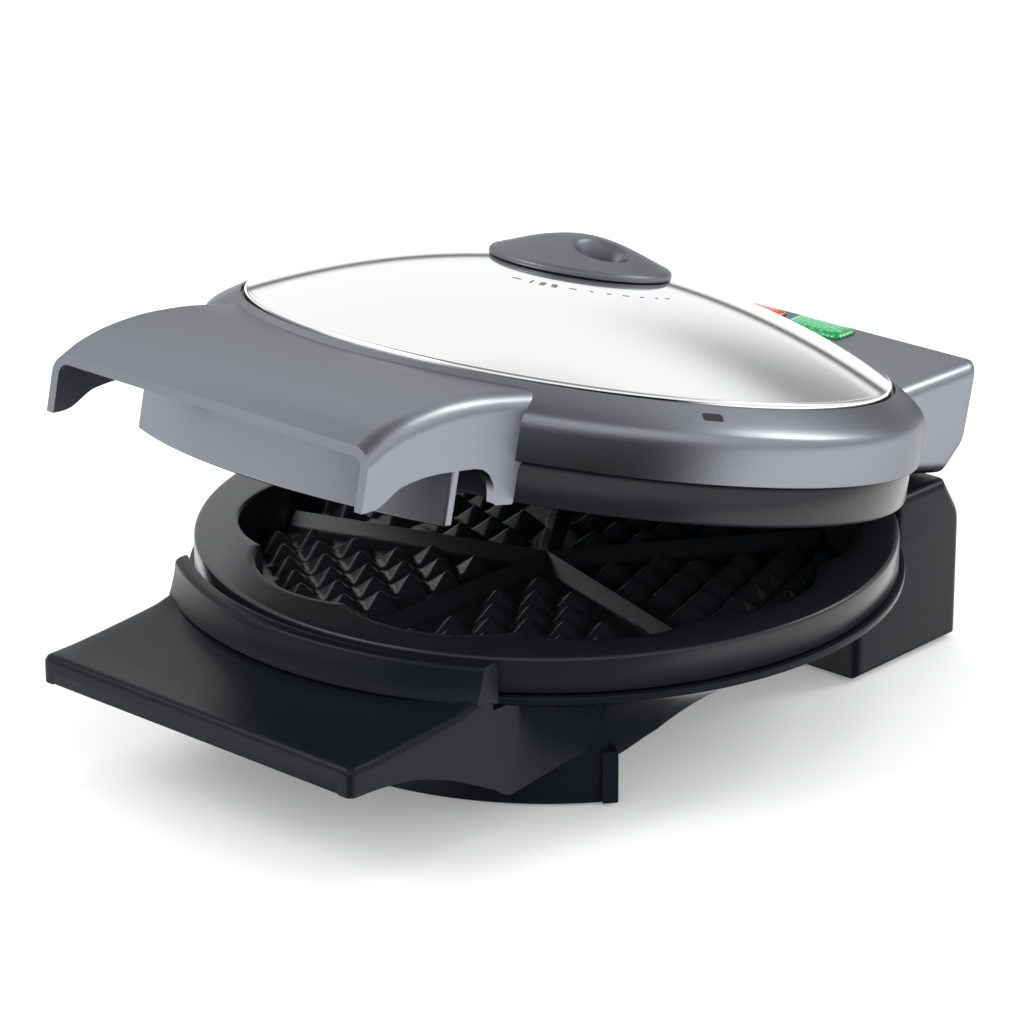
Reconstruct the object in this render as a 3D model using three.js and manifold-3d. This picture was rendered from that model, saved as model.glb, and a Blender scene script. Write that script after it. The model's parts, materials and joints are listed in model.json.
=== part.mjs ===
// Heart waffle maker: a round iron with a hinged lid, modelled ajar as it stands on a table.
// Lengths are in millimetres, angles in degrees. +Z is up, the handles point to -Y, the hinge is at +Y.
import * as THREE from "three";
import { mergeVertices } from "three/addons/utils/BufferGeometryUtils.js";
import Module from "manifold-3d";

const wasm = await Module();
wasm.setup();

// Shared clearances
const gap = 0.3; // between touching pieces
const overrun = 2; // how far a cut runs past its face
const mergeDistance = 0.001; // corners closer than this are one corner

// Counts that set how finely round shapes are cut
const roundSides = 64;
const hiddenSides = 36; // for round pieces that the housings hide
const smallSides = 16;
const tinySides = 10;
const outlineSteps = 6;

// Cooking plates
const plateShy = 2.2; // the upper plate is this much smaller than the lid housing
const plateStep = 0.8; // the lower plate is this much smaller than the upper one
const plateTop = 54.2;
const plateRim = 11.1; // height of the plate's visible wall
const plateChamfer = 0.9;
const plateFit = 0.5; // between the closed plates, and between a plate and its housing
const upperPlateRim = 11.9;
const heartCount = 5;
const scallopEdge = 13.8; // width of the upper plate's flat face outside the lobes
const scallopRadius = 40;
const pocketDepth = 14.2;
const pocketFloor = 2.2; // thickness under the pockets
const castingWall = 1.7; // round the pockets, on the plate's thick back
const dividerHalf = 3.4;
const dividerHeight = 4.6;
const hubRadius = 5;
const pyramidPitch = 11.2;
const pyramidBase = 10.6;
const pyramidHeight = 5.2;
const pyramidSink = 0.3;
const postRadius = 5;
const postPitch = 40; // posts stand on this radius
const postCount = 3;

// Hinge
const hingeY = 108;
const hingeZ = 56.3;
const openAngle = 13.2;
const knuckleRadius = 5.5;
const knuckleRoom = 1; // free space round a knuckle
const pinRadius = 2.2;
const pinFit = 0.1;
const earInset = 25.4; // the bracket's ear stands this far inside the lamp housing's side
const earThickness = 4;
const armThickness = 4;
const pinHeadRadius = 3.6;
const pinHead = 1.2;

// Base housing
const wall = 2.4;
const groundGap = 1; // the housing stands this far off the table, on its rubber feet
const rimRadius = 110;
const rimThickness = 2.1;
const shoulderRadius = 106;
const shoulderDrop = 2.3;
const flankRadius = 98;
const flankDrop = 3.6;
const panFloorRadius = 60;
const panFloorZ = 22.5;
const coverOpening = 48;
const towerHalf = 72;
const towerFront = 64;
const towerRear = 116.2;
const towerChamferZ = 43.5;
const towerLip = 0.3; // the tower's top edge stays this far below the hinge line
const ringRoom = 1.2; // between the plate and the tower's upper corners

// Front handle tongue and foot
const tongueHalf = 62.8;
const tongueFront = 151.5;
const tongueTop = 40.3;
const tongueThickness = 8.7;
const tongueSkin = 2.6;
const tongueRiseShares = [[0, 0], [0.12, 0.02], [0.27, 0.14], [0.45, 0.36], [0.62, 0.62], [0.74, 1], [1, 1]];
const tongueRise = 4.2;
const tongueBack = 80; // the tongue's block ends here
const archShares = [[0, 0], [0.14, 0.02], [0.36, 0.11], [0.6, 0.36], [0.79, 0.65], [1, 1]];
const archBack = 86;
const collarInner = 111.2;
const collarThickness = 4.5;
const collarFoot = 118; // radius where the collar's lower face meets the tongue
const collarHeight = 54;
const skirtRadius = 91.5;
const skirtWall = 3.6;
const skirtHalfAngle = 52.7;
const webEndX = 72.6;
const webEndY = 57;
const webBottom = 11;
const webRiseZ = 16;
const footRadius = 7;
const footHeight = 1.8;
const footBossWall = 2;
const frontFootX = 50;
const frontFootY = 63;
const rearFootX = 60;
const rearFootY = 103;

// Lid housing
const housingRadius = 111;
const housingWall = 2.6;
const housingStart = 66.9;
const housingShoulder = 79.9;
const shoulderRound = 1.7;
const shoulderReach = 10.7; // width of the sloping shoulder, seen from above
const coverSeatZ = 88;
const coverSeatDrop = 2;
const coverSeatWidth = 6.3;
const handleHalf = 62.8;
const handleFront = 151.8;
const handleThickness = 2.8;
const handleHeightShares = [[0, 0], [0.1, 0.33], [0.24, 0.62], [0.45, 0.87], [0.66, 0.98], [0.85, 1], [1, 1]];
const handleBack = 78;
const handleLow = 72;
const handleHigh = 84.9;
const skirtTipLift = 0.4; // the closed skirts stay this far above the collar
const skirtArchShares = [
  [0.02, 0.01], [0.1, 0.1], [0.27, 0.66], [0.5, 0.93], [0.68, 1], [0.79, 0.93], [0.88, 0.6],
];
const skirtArchBack = 96;
const skirtArchZ = 65;
const skirtLegBack = 90;
const frontWallRadius = 131;
const frontWallThickness = 2.8;
const frontWallZ = 48.6;
const slotWidth = 5.2;
const slotHeight = 2.6;
const slotDepth = 1.6;
const slotAngles = [-26, 46, 134, 206];

// Lamp housing at the back of the lid
const lampHalf = 71.4;
const lampRear = 117.4;
const lampRearZ = 94;
const lampFrontY = 82;
const lampFrontZ = 86.4;
const lampChamferZ = 67.5;
const lampRound = 2;
const lampBottom = 57;
const lampBottomFront = 85;
const lampMiddle = 107; // the lenses' distance behind the lid's middle

// Steel cover and dial
const coverFit = 0.9; // between the steel cover and its seat
const coverThickness = 1;
const coverRim = 0.9;
const coverRise = 22.4;
const domePower = 2;
const domeRings = 6;
const shaftRoom = 5.6;
const dialRadius = 28;
const dialLift = 0.7;
const dialEdge = 2.6;
const dialRise = 6.4;
const dialWall = 2.2;
const scoopRadius = 17;
const scoopOffset = 16.5;
const scoopDepth = 4.6;
const dialTurn = -22; // the finger scoops' direction, counted from the right
const shaftRadius = 3;

// Lenses, lamps and their board
const lensLength = 23;
const lensWidth = 10.4;
const lensDepth = 3.6;
const lensProud = 0.7;
const lensCorner = 3;
const lensOffset = 14;
const lampBulbRadius = 2.8;
const lampBulbHeight = 4.6;
const boardLength = 74;
const boardWidth = 9;
const boardThickness = 1.6;
const boardPostX = 32;
const boardPostRadius = 3.2;

// Heating parts
const elementRadius = 62;
const elementTube = 3.3;
const elementSides = 8;
const elementSteps = 34;
const elementGate = 11; // half the distance between the element's two ends
const elementReach = 78;
const shieldThickness = 0.7;
const shieldHole = 20;
const shieldRadius = 66;
const shieldClear = 2.4; // between the pan and the lower shield
const thermostatRadius = 14;
const thermostatHeight = 12;
const neckRadius = 5;
const neckHeight = 7;
const fuseRadius = 2.4;
const fuseLength = 22;
const fuseY = 30;

// Bottom cover and fasteners
const coverPlateRadius = 56;
const coverPlateThickness = 2;
const coverPlugDepth = 1.8;
const screwPitch = 52;
const coverScrewCount = 4;
const screwHead = 3.2;
const screwHeadHeight = 1.3;
const screwShank = 1.5;
const screwLength = 6;
const screwBoss = 4;
const bossHeight = 4;
const postScrewHead = 3.6;
const postScrewLength = 7;

// Rear tower fittings
const blockLength = 34;
const blockDepth = 14;
const blockHeight = 12;
const blockY = 92;
const grommetX = 24;
const grommetZ = 20;
const grommetNeck = 5.6;
const grommetFlange = 8;
const grommetBore = 3.4;
const grommetFlangeThickness = 1.8;
const bracketFlange = 10;
const bracketThickness = 2.4;
const bracketBottom = 14;
const bracketTop = 40;
const bracketReach = 12; // how far the ear's leg reaches forward of the rear wall
const armFlange = 12;
const armTop = 76;
const armFront = 93;
const armNeck = 98.6; // the arm's neck passes behind the upper plate
const armRear = 112.3;
const armFlangeThickness = 2.4;
const hingeScrewZ = 27;

// Worked-out places
const upperPlateRadius = housingRadius - plateShy;
const plateRadius = upperPlateRadius - plateStep;
const scallopReach = upperPlateRadius - scallopEdge; // how far the lobes reach from the middle
const castingRadius = scallopReach + castingWall;
const coverSeatRadius = housingRadius - shoulderReach;
const coverRadius = coverSeatRadius - coverFit;
const earInner = lampHalf - earInset;
const skirtTipZ = collarHeight + skirtTipLift;
const rimTop = plateTop - plateRim - plateFit;
const rimBottom = rimTop - rimThickness;
const shoulderZ = rimBottom - shoulderDrop;
const flankZ = shoulderZ - flankDrop;
const pocketZ = plateTop - pocketDepth;
const plateBack = pocketZ - pocketFloor;
const upperPlateBottom = plateTop + plateFit;
const upperPlateTop = upperPlateBottom + upperPlateRim;
const upperPocketZ = upperPlateBottom + pocketDepth;
const upperPlateBack = upperPocketZ + pocketFloor;
const towerTop = hingeZ - towerLip;
const domeTop = coverSeatZ + coverRim + coverRise;
const pinOuter = earInner + earThickness + gap + armThickness;
const lensSlope = Math.atan2(lampRearZ - lampFrontZ, lampRear - lampFrontY);

const radians = (angle) => (angle * Math.PI) / 180;
const degrees = (angle) => (angle * 180) / Math.PI;
const hypot = Math.hypot;

// Turn a closed geometry into a solid with its faces outwards.
function solid(geometry) {
  const bare = geometry.index ? geometry.clone() : geometry;
  bare.deleteAttribute("normal");
  bare.deleteAttribute("uv");
  const merged = mergeVertices(bare, mergeDistance);
  const places = merged.attributes.position.array;
  const corners = [];
  let volume = 0;
  const at = (i) => new THREE.Vector3().fromArray(places, i * 3);
  for (let i = 0; i < merged.index.count; i += 3) {
    const [a, b, c] = [0, 1, 2].map((k) => merged.index.getX(i + k));
    if (a !== b && b !== c && c !== a) {
      corners.push(a, b, c);
      volume += at(a).dot(at(b).cross(at(c)));
    }
  }
  if (volume < 0) {
    corners.reverse();
  }
  const triVerts = Uint32Array.from(corners);
  const vertProperties = Float32Array.from(places);
  return new wasm.Manifold(new wasm.Mesh({ numProp: 3, vertProperties, triVerts }));
}

const join = (pieces) => pieces.reduce((whole, piece) => whole.add(piece));

// A profile of (radius, height) pairs turned round the Z axis.
function turned(profile, sides = roundSides) {
  const points = profile.map(([radius, height]) => new THREE.Vector2(radius, height));
  points.push(points[0].clone());
  return solid(new THREE.LatheGeometry(points, sides).rotateX(Math.PI / 2));
}

function outline(points) {
  return new THREE.Shape(points.map(([x, y]) => new THREE.Vector2(x, y)));
}

// An outline of (x, y) pairs raised from one height to another.
function raised(points, low, high) {
  const shape = points instanceof THREE.Shape ? points : outline(points);
  const settings = { depth: high - low, bevelEnabled: false, curveSegments: outlineSteps };
  return solid(new THREE.ExtrudeGeometry(shape, settings).translate(0, 0, low));
}

// A side outline of (y, z) pairs stretched across from one x to another.
function across(points, left, right) {
  const geometry = new THREE.ExtrudeGeometry(outline(points), { depth: right - left, bevelEnabled: false });
  const basis = new THREE.Matrix4().makeBasis(
    new THREE.Vector3(0, 1, 0),
    new THREE.Vector3(0, 0, 1),
    new THREE.Vector3(1, 0, 0),
  );
  return solid(geometry.applyMatrix4(basis).translate(left, 0, 0));
}

function block([left, front, low], [right, back, high]) {
  const geometry = new THREE.BoxGeometry(right - left, back - front, high - low);
  return solid(geometry.translate((left + right) / 2, (front + back) / 2, (low + high) / 2));
}

function disc(radius, low, high, sides = roundSides) {
  return turned([[0, low], [radius, low], [radius, high], [0, high]], sides);
}

// A piece made for the right side, kept there for side 1 and mirrored to the left for side -1.
function mirrored(piece, side) {
  return side > 0 ? piece : piece.mirror([1, 0, 0]);
}

// A round bar along X.
function bar(radius, left, right, y, z, sides = smallSides) {
  const geometry = new THREE.CylinderGeometry(radius, radius, right - left, sides);
  return solid(geometry.rotateZ(Math.PI / 2).translate((left + right) / 2, y, z));
}

// Points along a run, each a share of the way in y and of the height change in z.
function run(shares, [startY, startZ], [endY, endZ]) {
  return shares.map(([along, up]) => [startY + (endY - startY) * along, startZ + (endZ - startZ) * up]);
}

// Evenly spread directions round a circle, in radians.
function spread(count, start = 0) {
  return Array.from({ length: count }, (_, k) => radians(start + (360 * k) / count));
}

// Copies of an upright piece, standing on a circle at the given directions.
function ringOf(piece, pitch, directions) {
  return directions.map((a) => piece.translate(pitch * Math.cos(a), pitch * Math.sin(a), 0));
}

// The scalloped edge of the heart field: two round lobes for each heart.
function scallopPoints(inset = 0) {
  const lobes = heartCount * 2;
  const middle = scallopReach - scallopRadius;
  const radius = scallopRadius - inset;
  const half = Math.PI / lobes;
  const reach = middle * Math.cos(half) + Math.sqrt(radius ** 2 - (middle * Math.sin(half)) ** 2);
  const sweep = Math.atan2(reach * Math.sin(half), reach * Math.cos(half) - middle);
  const steps = 6;
  const points = [];
  for (const lobe of spread(lobes, -90 + 180 / lobes)) {
    for (let k = 0; k < steps; k += 1) {
      const turn = lobe + sweep * ((2 * k) / steps - 1);
      points.push([
        middle * Math.cos(lobe) + radius * Math.cos(turn),
        middle * Math.sin(lobe) + radius * Math.sin(turn),
      ]);
    }
  }
  return points;
}

// How far a place lies inside the heart that points along +X: from its two straight sides and its lobes.
function heartMargin(x, y) {
  const half = Math.PI / heartCount;
  const side = x * Math.sin(half) - Math.abs(y) * Math.cos(half) - dividerHalf;
  const middle = scallopReach - scallopRadius;
  const lobe = half / 2;
  const edge = scallopRadius - hypot(x - middle * Math.cos(lobe), Math.abs(y) - middle * Math.sin(lobe));
  return Math.min(side, edge);
}

// One heart's pyramids, standing in rows square to the heart's own middle line.
function heartPyramids(angle) {
  const geometry = [];
  const rows = Math.ceil(scallopReach / pyramidPitch);
  for (let row = 1; row <= rows; row += 1) {
    for (let place = -rows; place <= rows; place += 1) {
      const x = row * pyramidPitch;
      const y = place * pyramidPitch;
      if (heartMargin(x, y) > pyramidBase / 2) {
        const cone = new THREE.ConeGeometry(pyramidBase / Math.SQRT2, pyramidHeight + pyramidSink, 4);
        cone.rotateY(Math.PI / 4).rotateX(Math.PI / 2);
        cone.translate(x, y, (pyramidHeight - pyramidSink) / 2);
        geometry.push(cone.rotateZ(angle));
      }
    }
  }
  return geometry.map(solid);
}

// The ridges between the hearts, meeting at a small hub.
function dividers() {
  const reach = scallopReach - dividerHalf;
  const ridge = [[-dividerHalf, -pyramidSink], [dividerHalf, -pyramidSink], [0, dividerHeight]];
  const ridges = spread(heartCount, -90).map((angle) => {
    const geometry = new THREE.ExtrudeGeometry(outline(ridge), { depth: reach, bevelEnabled: false });
    geometry.rotateX(Math.PI / 2).rotateZ(Math.PI + angle - Math.PI / 2);
    return solid(geometry);
  });
  const hub = turned([[0, -pyramidSink], [hubRadius, -pyramidSink], [0, dividerHeight]], heartCount * 2);
  return join([...ridges, hub]);
}

// The heart field's relief, with the pocket floor at height zero.
function relief() {
  const centres = spread(heartCount, -90 + 180 / heartCount);
  const pyramids = centres.flatMap(heartPyramids);
  const field = raised(scallopPoints(), -pocketFloor, pocketDepth);
  return join([dividers(), ...pyramids]).intersect(field);
}

// A cooking plate lying face up, its face at height zero.
function plate(radius, rim) {
  const back = -pocketDepth - pocketFloor;
  const body = turned([
    [0, back], [castingRadius, back], [castingRadius, -rim], [radius, -rim],
    [radius, -plateChamfer], [radius - plateChamfer, 0], [0, 0],
  ]);
  const hollow = body.subtract(raised(scallopPoints(), -pocketDepth, overrun));
  return hollow.add(relief().translate(0, 0, -pocketDepth));
}

const postDirections = () => spread(postCount, 90);

// Posts on a plate's back carry its heat shield; each takes a screw.
function posts(back, end) {
  const [low, high] = [Math.min(back, end), Math.max(back, end)];
  return join(ringOf(disc(postRadius, low, high, smallSides), postPitch, postDirections()));
}

const lowerShieldTop = plateBack - 2 * elementTube - 3 * gap - shieldClear;
const upperShieldLow = upperPlateBack + 2 * elementTube + 3 * gap;

function lowerPlate() {
  const body = plate(plateRadius, plateRim).translate(0, 0, plateTop);
  const post = posts(plateBack + pocketFloor / 2, lowerShieldTop + gap);
  return postScrewHoles(body.add(post), lowerShieldTop - gap, postScrewLength + gap);
}

function upperPlate() {
  const facing = plate(upperPlateRadius, upperPlateRim).mirror([0, 0, 1]);
  const body = facing.translate(0, 0, upperPlateBottom);
  const post = posts(upperPlateBack - pocketFloor / 2, upperShieldLow - gap);
  return postScrewHoles(body.add(post), upperShieldLow + gap, -postScrewLength - gap);
}

function postScrewHoles(body, start, depth) {
  const [low, high] = [Math.min(start, start + depth), Math.max(start, start + depth)];
  const hole = disc(screwShank + gap, low, high, tinySides);
  return body.subtract(join(ringOf(hole, postPitch, postDirections())));
}

// A screw with its head at height zero and its shank pointing up.
function screw(head, headHeight, shank, length) {
  return turned([
    [0, -headHeight], [head, -headHeight], [head, 0], [shank, 0], [shank, length], [0, length],
  ], tinySides);
}

// Base housing
function panOuter() {
  return turned([
    [0, panFloorZ], [panFloorRadius, panFloorZ], [flankRadius, flankZ], [shoulderRadius, shoulderZ],
    [rimRadius, rimBottom], [rimRadius, rimTop], [0, rimTop],
  ]);
}

function panInner() {
  const floor = panFloorZ + wall;
  const inward = wall / 4;
  return turned([
    [0, floor], [panFloorRadius - inward, floor], [flankRadius - inward, flankZ + wall],
    [shoulderRadius - wall, shoulderZ + wall], [shoulderRadius - wall, rimTop + overrun],
    [0, rimTop + overrun],
  ]);
}

function towerOuter() {
  const seam = (rimTop + shoulderZ) / 2;
  return across([
    [towerFront, groundGap], [towerRear, groundGap], [towerRear, towerChamferZ], [hingeY, towerTop],
    [panFloorRadius, towerTop], [panFloorRadius, seam], [towerFront, seam],
  ], -towerHalf, towerHalf);
}

function towerInner() {
  const rear = towerRear - wall;
  return across([
    [towerFront + wall, groundGap + wall], [rear, groundGap + wall], [rear, towerChamferZ - wall / 4],
    [hingeY - wall / 2, towerTop - wall], [hingeY - wall / 2, towerTop + overrun],
    [towerFront + wall, towerTop + overrun],
  ], wall - towerHalf, towerHalf - wall);
}

function tongueRun() {
  return run(tongueRiseShares, [-tongueFront, tongueTop], [-tongueBack, tongueTop + tongueRise]);
}

function archRun() {
  return run(archShares, [-tongueFront, tongueTop - tongueThickness], [-archBack, webBottom]);
}

function tongueOuter() {
  const low = [...archRun(), [-tongueBack, webBottom]];
  return across([...tongueRun(), ...low.reverse()], -tongueHalf, tongueHalf);
}

// The hollow under the tongue: its skin follows the top, its sides are walls.
function tongueInner() {
  const top = tongueRun().map(([y, z]) => [Math.max(y, tongueSkin - tongueFront), z - tongueSkin]);
  const low = groundGap - overrun;
  const side = tongueHalf - tongueSkin;
  return across([...top, [-tongueBack, low], [tongueSkin - tongueFront, low]], -side, side);
}

// The side webs widen behind the tongue until they meet the foot's ends.
function webs() {
  const side = (sign) => {
    const plan = [
      [sign * (tongueHalf - skirtWall), -archBack], [sign * tongueHalf, -archBack],
      [sign * webEndX, -webEndY], [sign * (webEndX - skirtWall), -webEndY],
    ];
    const low = webRiseZ - (webRiseZ - webBottom) / 2;
    return raised(sign > 0 ? plan : plan.reverse(), low, rimBottom);
  };
  return side(1).add(side(-1)).intersect(disc(rimRadius, 0, rimBottom));
}

function wedge(halfAngle, reach, low, high) {
  const points = [[0, 0]];
  const steps = 4;
  for (let k = -steps; k <= steps; k += 1) {
    const turn = radians(-90 + (halfAngle * k) / steps);
    points.push([reach * Math.cos(turn), reach * Math.sin(turn)]);
  }
  return raised(points, low, high);
}

function footSkirt() {
  const high = flankZ;
  const inner = skirtRadius - skirtWall;
  const ring = turned([[inner, groundGap], [skirtRadius, groundGap], [skirtRadius, high], [inner, high]]);
  return ring.intersect(wedge(skirtHalfAngle, 2 * skirtRadius, 0, high + overrun));
}

const footPlaces = () => [-1, 1].flatMap((side) => [
  [side * frontFootX, -frontFootY],
  [side * rearFootX, rearFootY],
]);

function footBosses() {
  const radius = footRadius + gap + footBossWall;
  return [-1, 1].map((side) => disc(radius, groundGap, panFloorZ + wall, smallSides)
    .translate(side * frontFootX, -frontFootY, 0));
}

function footHoles() {
  const hole = disc(footRadius + gap, groundGap - overrun, footHeight + gap, smallSides);
  return join(footPlaces().map(([x, y]) => hole.translate(x, y, 0)));
}

function collar() {
  const outer = collarInner + collarThickness;
  const low = tongueTop - tongueSkin;
  const ring = turned([
    [rimRadius - wall, low], [collarFoot, low], [collarFoot, tongueTop + tongueRise / 2],
    [outer + collarThickness / 4, rimTop + tongueRise],
    [outer, collarHeight], [collarInner, collarHeight], [collarInner, rimTop], [rimRadius - wall, rimTop],
  ]);
  const reach = block([-tongueHalf, -collarFoot, low], [tongueHalf, -tongueBack, collarHeight]);
  return ring.intersect(reach);
}

const coverDirections = () => spread(coverScrewCount, 180 / coverScrewCount);

function coverBosses() {
  const boss = disc(screwBoss, panFloorZ + wall / 2, panFloorZ + bossHeight, tinySides);
  return ringOf(boss, screwPitch, coverDirections());
}

function coverScrewHoles(low, high) {
  const hole = disc(screwShank + gap, low, high, tinySides);
  return join(ringOf(hole, screwPitch, coverDirections()));
}

function knuckleSlots(radius) {
  const left = earInner - gap - pinHead - knuckleRoom;
  const right = pinOuter + pinHead + gap + knuckleRoom;
  return [-1, 1].map((side) => mirrored(bar(radius, left, right, hingeY, hingeZ), side));
}

function hingeScrewHoles() {
  const hole = rearward(screwShank + gap, towerRear - wall - overrun, towerRear + overrun);
  return [-1, 1].map((side) => hole.translate(side * (earInner - bracketFlange / 2), 0, hingeScrewZ));
}

// A round bar along Y, from one y to another.
function rearward(radius, front, back, sides = tinySides) {
  const geometry = new THREE.CylinderGeometry(radius, radius, back - front, sides);
  return solid(geometry.translate(0, (front + back) / 2, 0));
}

function hollowTongue() {
  const hollow = tongueInner().subtract(disc(skirtRadius, -overrun, rimTop));
  return tongueOuter().subtract(hollow).subtract(disc(skirtRadius - skirtWall, -overrun, rimTop));
}

function baseHousing() {
  const shell = join([panOuter(), towerOuter(), hollowTongue(), webs(), footSkirt(), ...footBosses()]);
  const hollow = shell.subtract(panInner()).subtract(towerInner());
  const ringed = hollow.add(collar()).subtract(disc(plateRadius + ringRoom, rimTop, towerTop + overrun));
  const opening = disc(coverOpening, panFloorZ - overrun, panFloorZ + wall + overrun, hiddenSides);
  const opened = ringed.subtract(opening);
  const bossed = join([opened, ...coverBosses()]);
  const cuts = join([
    footHoles(), coverScrewHoles(panFloorZ - overrun, panFloorZ + bossHeight + overrun),
    ...knuckleSlots(knuckleRadius + knuckleRoom), ...hingeScrewHoles(),
    rearward(grommetNeck + gap, towerRear - wall - overrun, towerRear + overrun, smallSides)
      .translate(-grommetX, 0, grommetZ),
  ]);
  return bossed.subtract(cuts);
}

function bottomCover() {
  const top = panFloorZ - gap;
  const low = top - coverPlateThickness;
  const plug = coverOpening - 2 * gap;
  const body = turned([[0, low], [coverPlateRadius, low], [coverPlateRadius, top], [plug, top],
    [plug, top + coverPlugDepth], [0, top + coverPlugDepth]], hiddenSides);
  return body.subtract(coverScrewHoles(low - overrun, top + overrun));
}

function heatingElement(height) {
  const start = Math.asin(elementGate / elementRadius);
  const points = [new THREE.Vector3(elementGate, elementReach, height)];
  const turns = 14;
  for (let k = 0; k <= turns; k += 1) {
    const turn = radians(90) - start - (2 * (Math.PI - start) * k) / turns;
    points.push(new THREE.Vector3(elementRadius * Math.cos(turn), elementRadius * Math.sin(turn), height));
  }
  points.push(new THREE.Vector3(-elementGate, elementReach, height));
  const path = new THREE.CatmullRomCurve3(points, false, "centripetal");
  const ring = spread(elementSides).map((a) => [elementTube * Math.cos(a), elementTube * Math.sin(a)]);
  const settings = { steps: elementSteps, extrudePath: path, bevelEnabled: false };
  return solid(new THREE.ExtrudeGeometry(outline(ring), settings));
}

function shieldHoles() {
  return join(ringOf(disc(screwShank + gap, 0, domeTop, tinySides), postPitch, postDirections()));
}

function lowerShield() {
  const low = lowerShieldTop - shieldThickness;
  const bend = panFloorRadius - wall;
  const slope = (flankZ - panFloorZ) / (flankRadius - panFloorRadius);
  const rise = (shieldRadius - bend) * slope;
  return turned([
    [shieldHole, low], [bend, low], [shieldRadius, low + rise], [shieldRadius, lowerShieldTop + rise],
    [bend, lowerShieldTop], [shieldHole, lowerShieldTop],
  ], hiddenSides).subtract(shieldHoles());
}

function upperShield() {
  const high = upperShieldLow + shieldThickness;
  return turned([
    [shieldHole, upperShieldLow], [shieldRadius, upperShieldLow], [shieldRadius, high], [shieldHole, high],
  ], hiddenSides).subtract(shieldHoles());
}

// Lid housing, in the closed lid's own places
function housingRing() {
  const inner = housingRadius - housingWall;
  const lip = coverSeatRadius - coverSeatWidth;
  const ledge = coverSeatZ - coverSeatDrop;
  return turned([
    [housingRadius, housingStart], [housingRadius, housingShoulder],
    [housingRadius - shoulderRound / 2, housingShoulder + shoulderRound],
    [coverSeatRadius, coverSeatZ], [coverSeatRadius, ledge], [lip, ledge], [lip, ledge - housingWall],
    [coverSeatRadius - wall / 2, ledge - housingWall],
    [inner, housingShoulder - shoulderRound], [inner, housingStart],
  ]);
}

const handleRun = () => run(handleHeightShares, [-handleFront, handleLow], [-handleBack, handleHigh]);

function handleSheet() {
  const top = handleRun();
  const under = top.map(([y, z]) => [y, z - handleThickness]);
  return across([...top, ...under.reverse()], -handleHalf, handleHalf);
}

function handleSkirts() {
  const arch = run(skirtArchShares, [-handleFront, skirtTipZ], [-skirtArchBack, skirtArchZ]);
  const leg = [
    [-skirtArchBack, skirtTipZ], [-skirtLegBack, skirtTipZ], [-handleBack, handleHigh - handleThickness],
  ];
  const side = [...handleRun(), ...leg.reverse(), ...arch.reverse()];
  const inner = handleHalf - handleThickness;
  return across(side, inner, handleHalf).add(across(side, -handleHalf, -inner));
}

function frontWall() {
  const inner = frontWallRadius - frontWallThickness;
  const ring = turned([
    [inner, frontWallZ], [frontWallRadius, frontWallZ], [frontWallRadius, handleHigh], [inner, handleHigh],
  ]);
  const top = handleRun().map(([y, z]) => [y, z - handleThickness / 2]);
  const under = [...top, [-handleBack, frontWallZ], [-handleFront, frontWallZ]];
  return ring.intersect(across(under, -handleHalf, handleHalf));
}

const lampTopAt = (y) => lampRearZ - (lampRear - y) * Math.tan(lensSlope);

function lampOuter() {
  return across([
    [hingeY + gap, lampBottom], [lampRear - lampRound / 4, lampChamferZ], [lampRear, lampRearZ - lampRound],
    [lampRear - lampRound, lampTopAt(lampRear - lampRound)], [towerFront, lampTopAt(towerFront)],
    [towerFront, housingStart], [lampBottomFront, housingStart], [lampBottomFront, lampBottom],
  ], -lampHalf, lampHalf);
}

function lampInner() {
  const rear = lampRear - wall;
  const skin = (y) => lampTopAt(y) - wall;
  const room = across([
    [hingeY - wall / 2, lampBottom - overrun], [hingeY - wall / 2, lampBottom + wall],
    [rear - lampRound / 4, lampChamferZ + wall / 2], [rear, skin(rear)],
    [lampBottomFront, skin(lampBottomFront)], [lampBottomFront, lampBottom - overrun],
  ], wall - lampHalf, lampHalf - wall);
  const seatWall = disc(coverSeatRadius + wall, coverSeatZ - coverSeatDrop - housingWall, domeTop);
  return room.subtract(seatWall);
}

// Place a piece on the lamp housing's sloping top: its own z is square to the top.
function onLampTop(piece, x) {
  return piece.rotate([degrees(lensSlope), 0, 0]).translate(x, lampMiddle, lampTopAt(lampMiddle));
}

function lensShape(extra) {
  const [w, h, r] = [lensLength / 2 + extra, lensWidth / 2 + extra, lensCorner];
  const shape = new THREE.Shape();
  shape.moveTo(r - w, -h);
  shape.lineTo(w - r, -h);
  shape.absarc(w - r, r - h, r, -Math.PI / 2, 0);
  shape.lineTo(w, h - r);
  shape.absarc(w - r, h - r, r, 0, Math.PI / 2);
  shape.lineTo(r - w, h);
  shape.absarc(r - w, h - r, r, Math.PI / 2, Math.PI);
  shape.lineTo(-w, r - h);
  shape.absarc(r - w, r - h, r, Math.PI, Math.PI * 1.5);
  return shape;
}

function lens(side) {
  return onLampTop(raised(lensShape(0), -lensDepth, lensProud), side * lensOffset);
}

function lensHole(side) {
  return onLampTop(raised(lensShape(gap), -lensDepth - overrun, overrun), side * lensOffset);
}

const boardZ = lampTopAt(lampMiddle) - lensDepth - lampBulbHeight - 3 * gap;

function boardPosts() {
  const post = disc(boardPostRadius, boardZ + gap, lampTopAt(lampMiddle) - wall / 2, tinySides);
  return [-1, 1].map((side) => post.translate(side * boardPostX, lampMiddle, 0));
}

const armBossX = pinOuter + armFlange / 2;
const armBossY = (armFront + armRear) / 2;
const armScrewStart = armTop - gap;

function armBosses() {
  const low = armTop + armFlangeThickness + gap;
  const boss = disc(screwBoss, low, lampTopAt(armBossY) - wall / 2, tinySides);
  return [-1, 1].map((side) => boss.translate(side * armBossX, armBossY, 0));
}

function armScrewHoles(low, high) {
  const hole = disc(screwShank + gap, low, high, tinySides);
  return join([-1, 1].map((side) => hole.translate(side * armBossX, armBossY, 0)));
}

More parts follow.
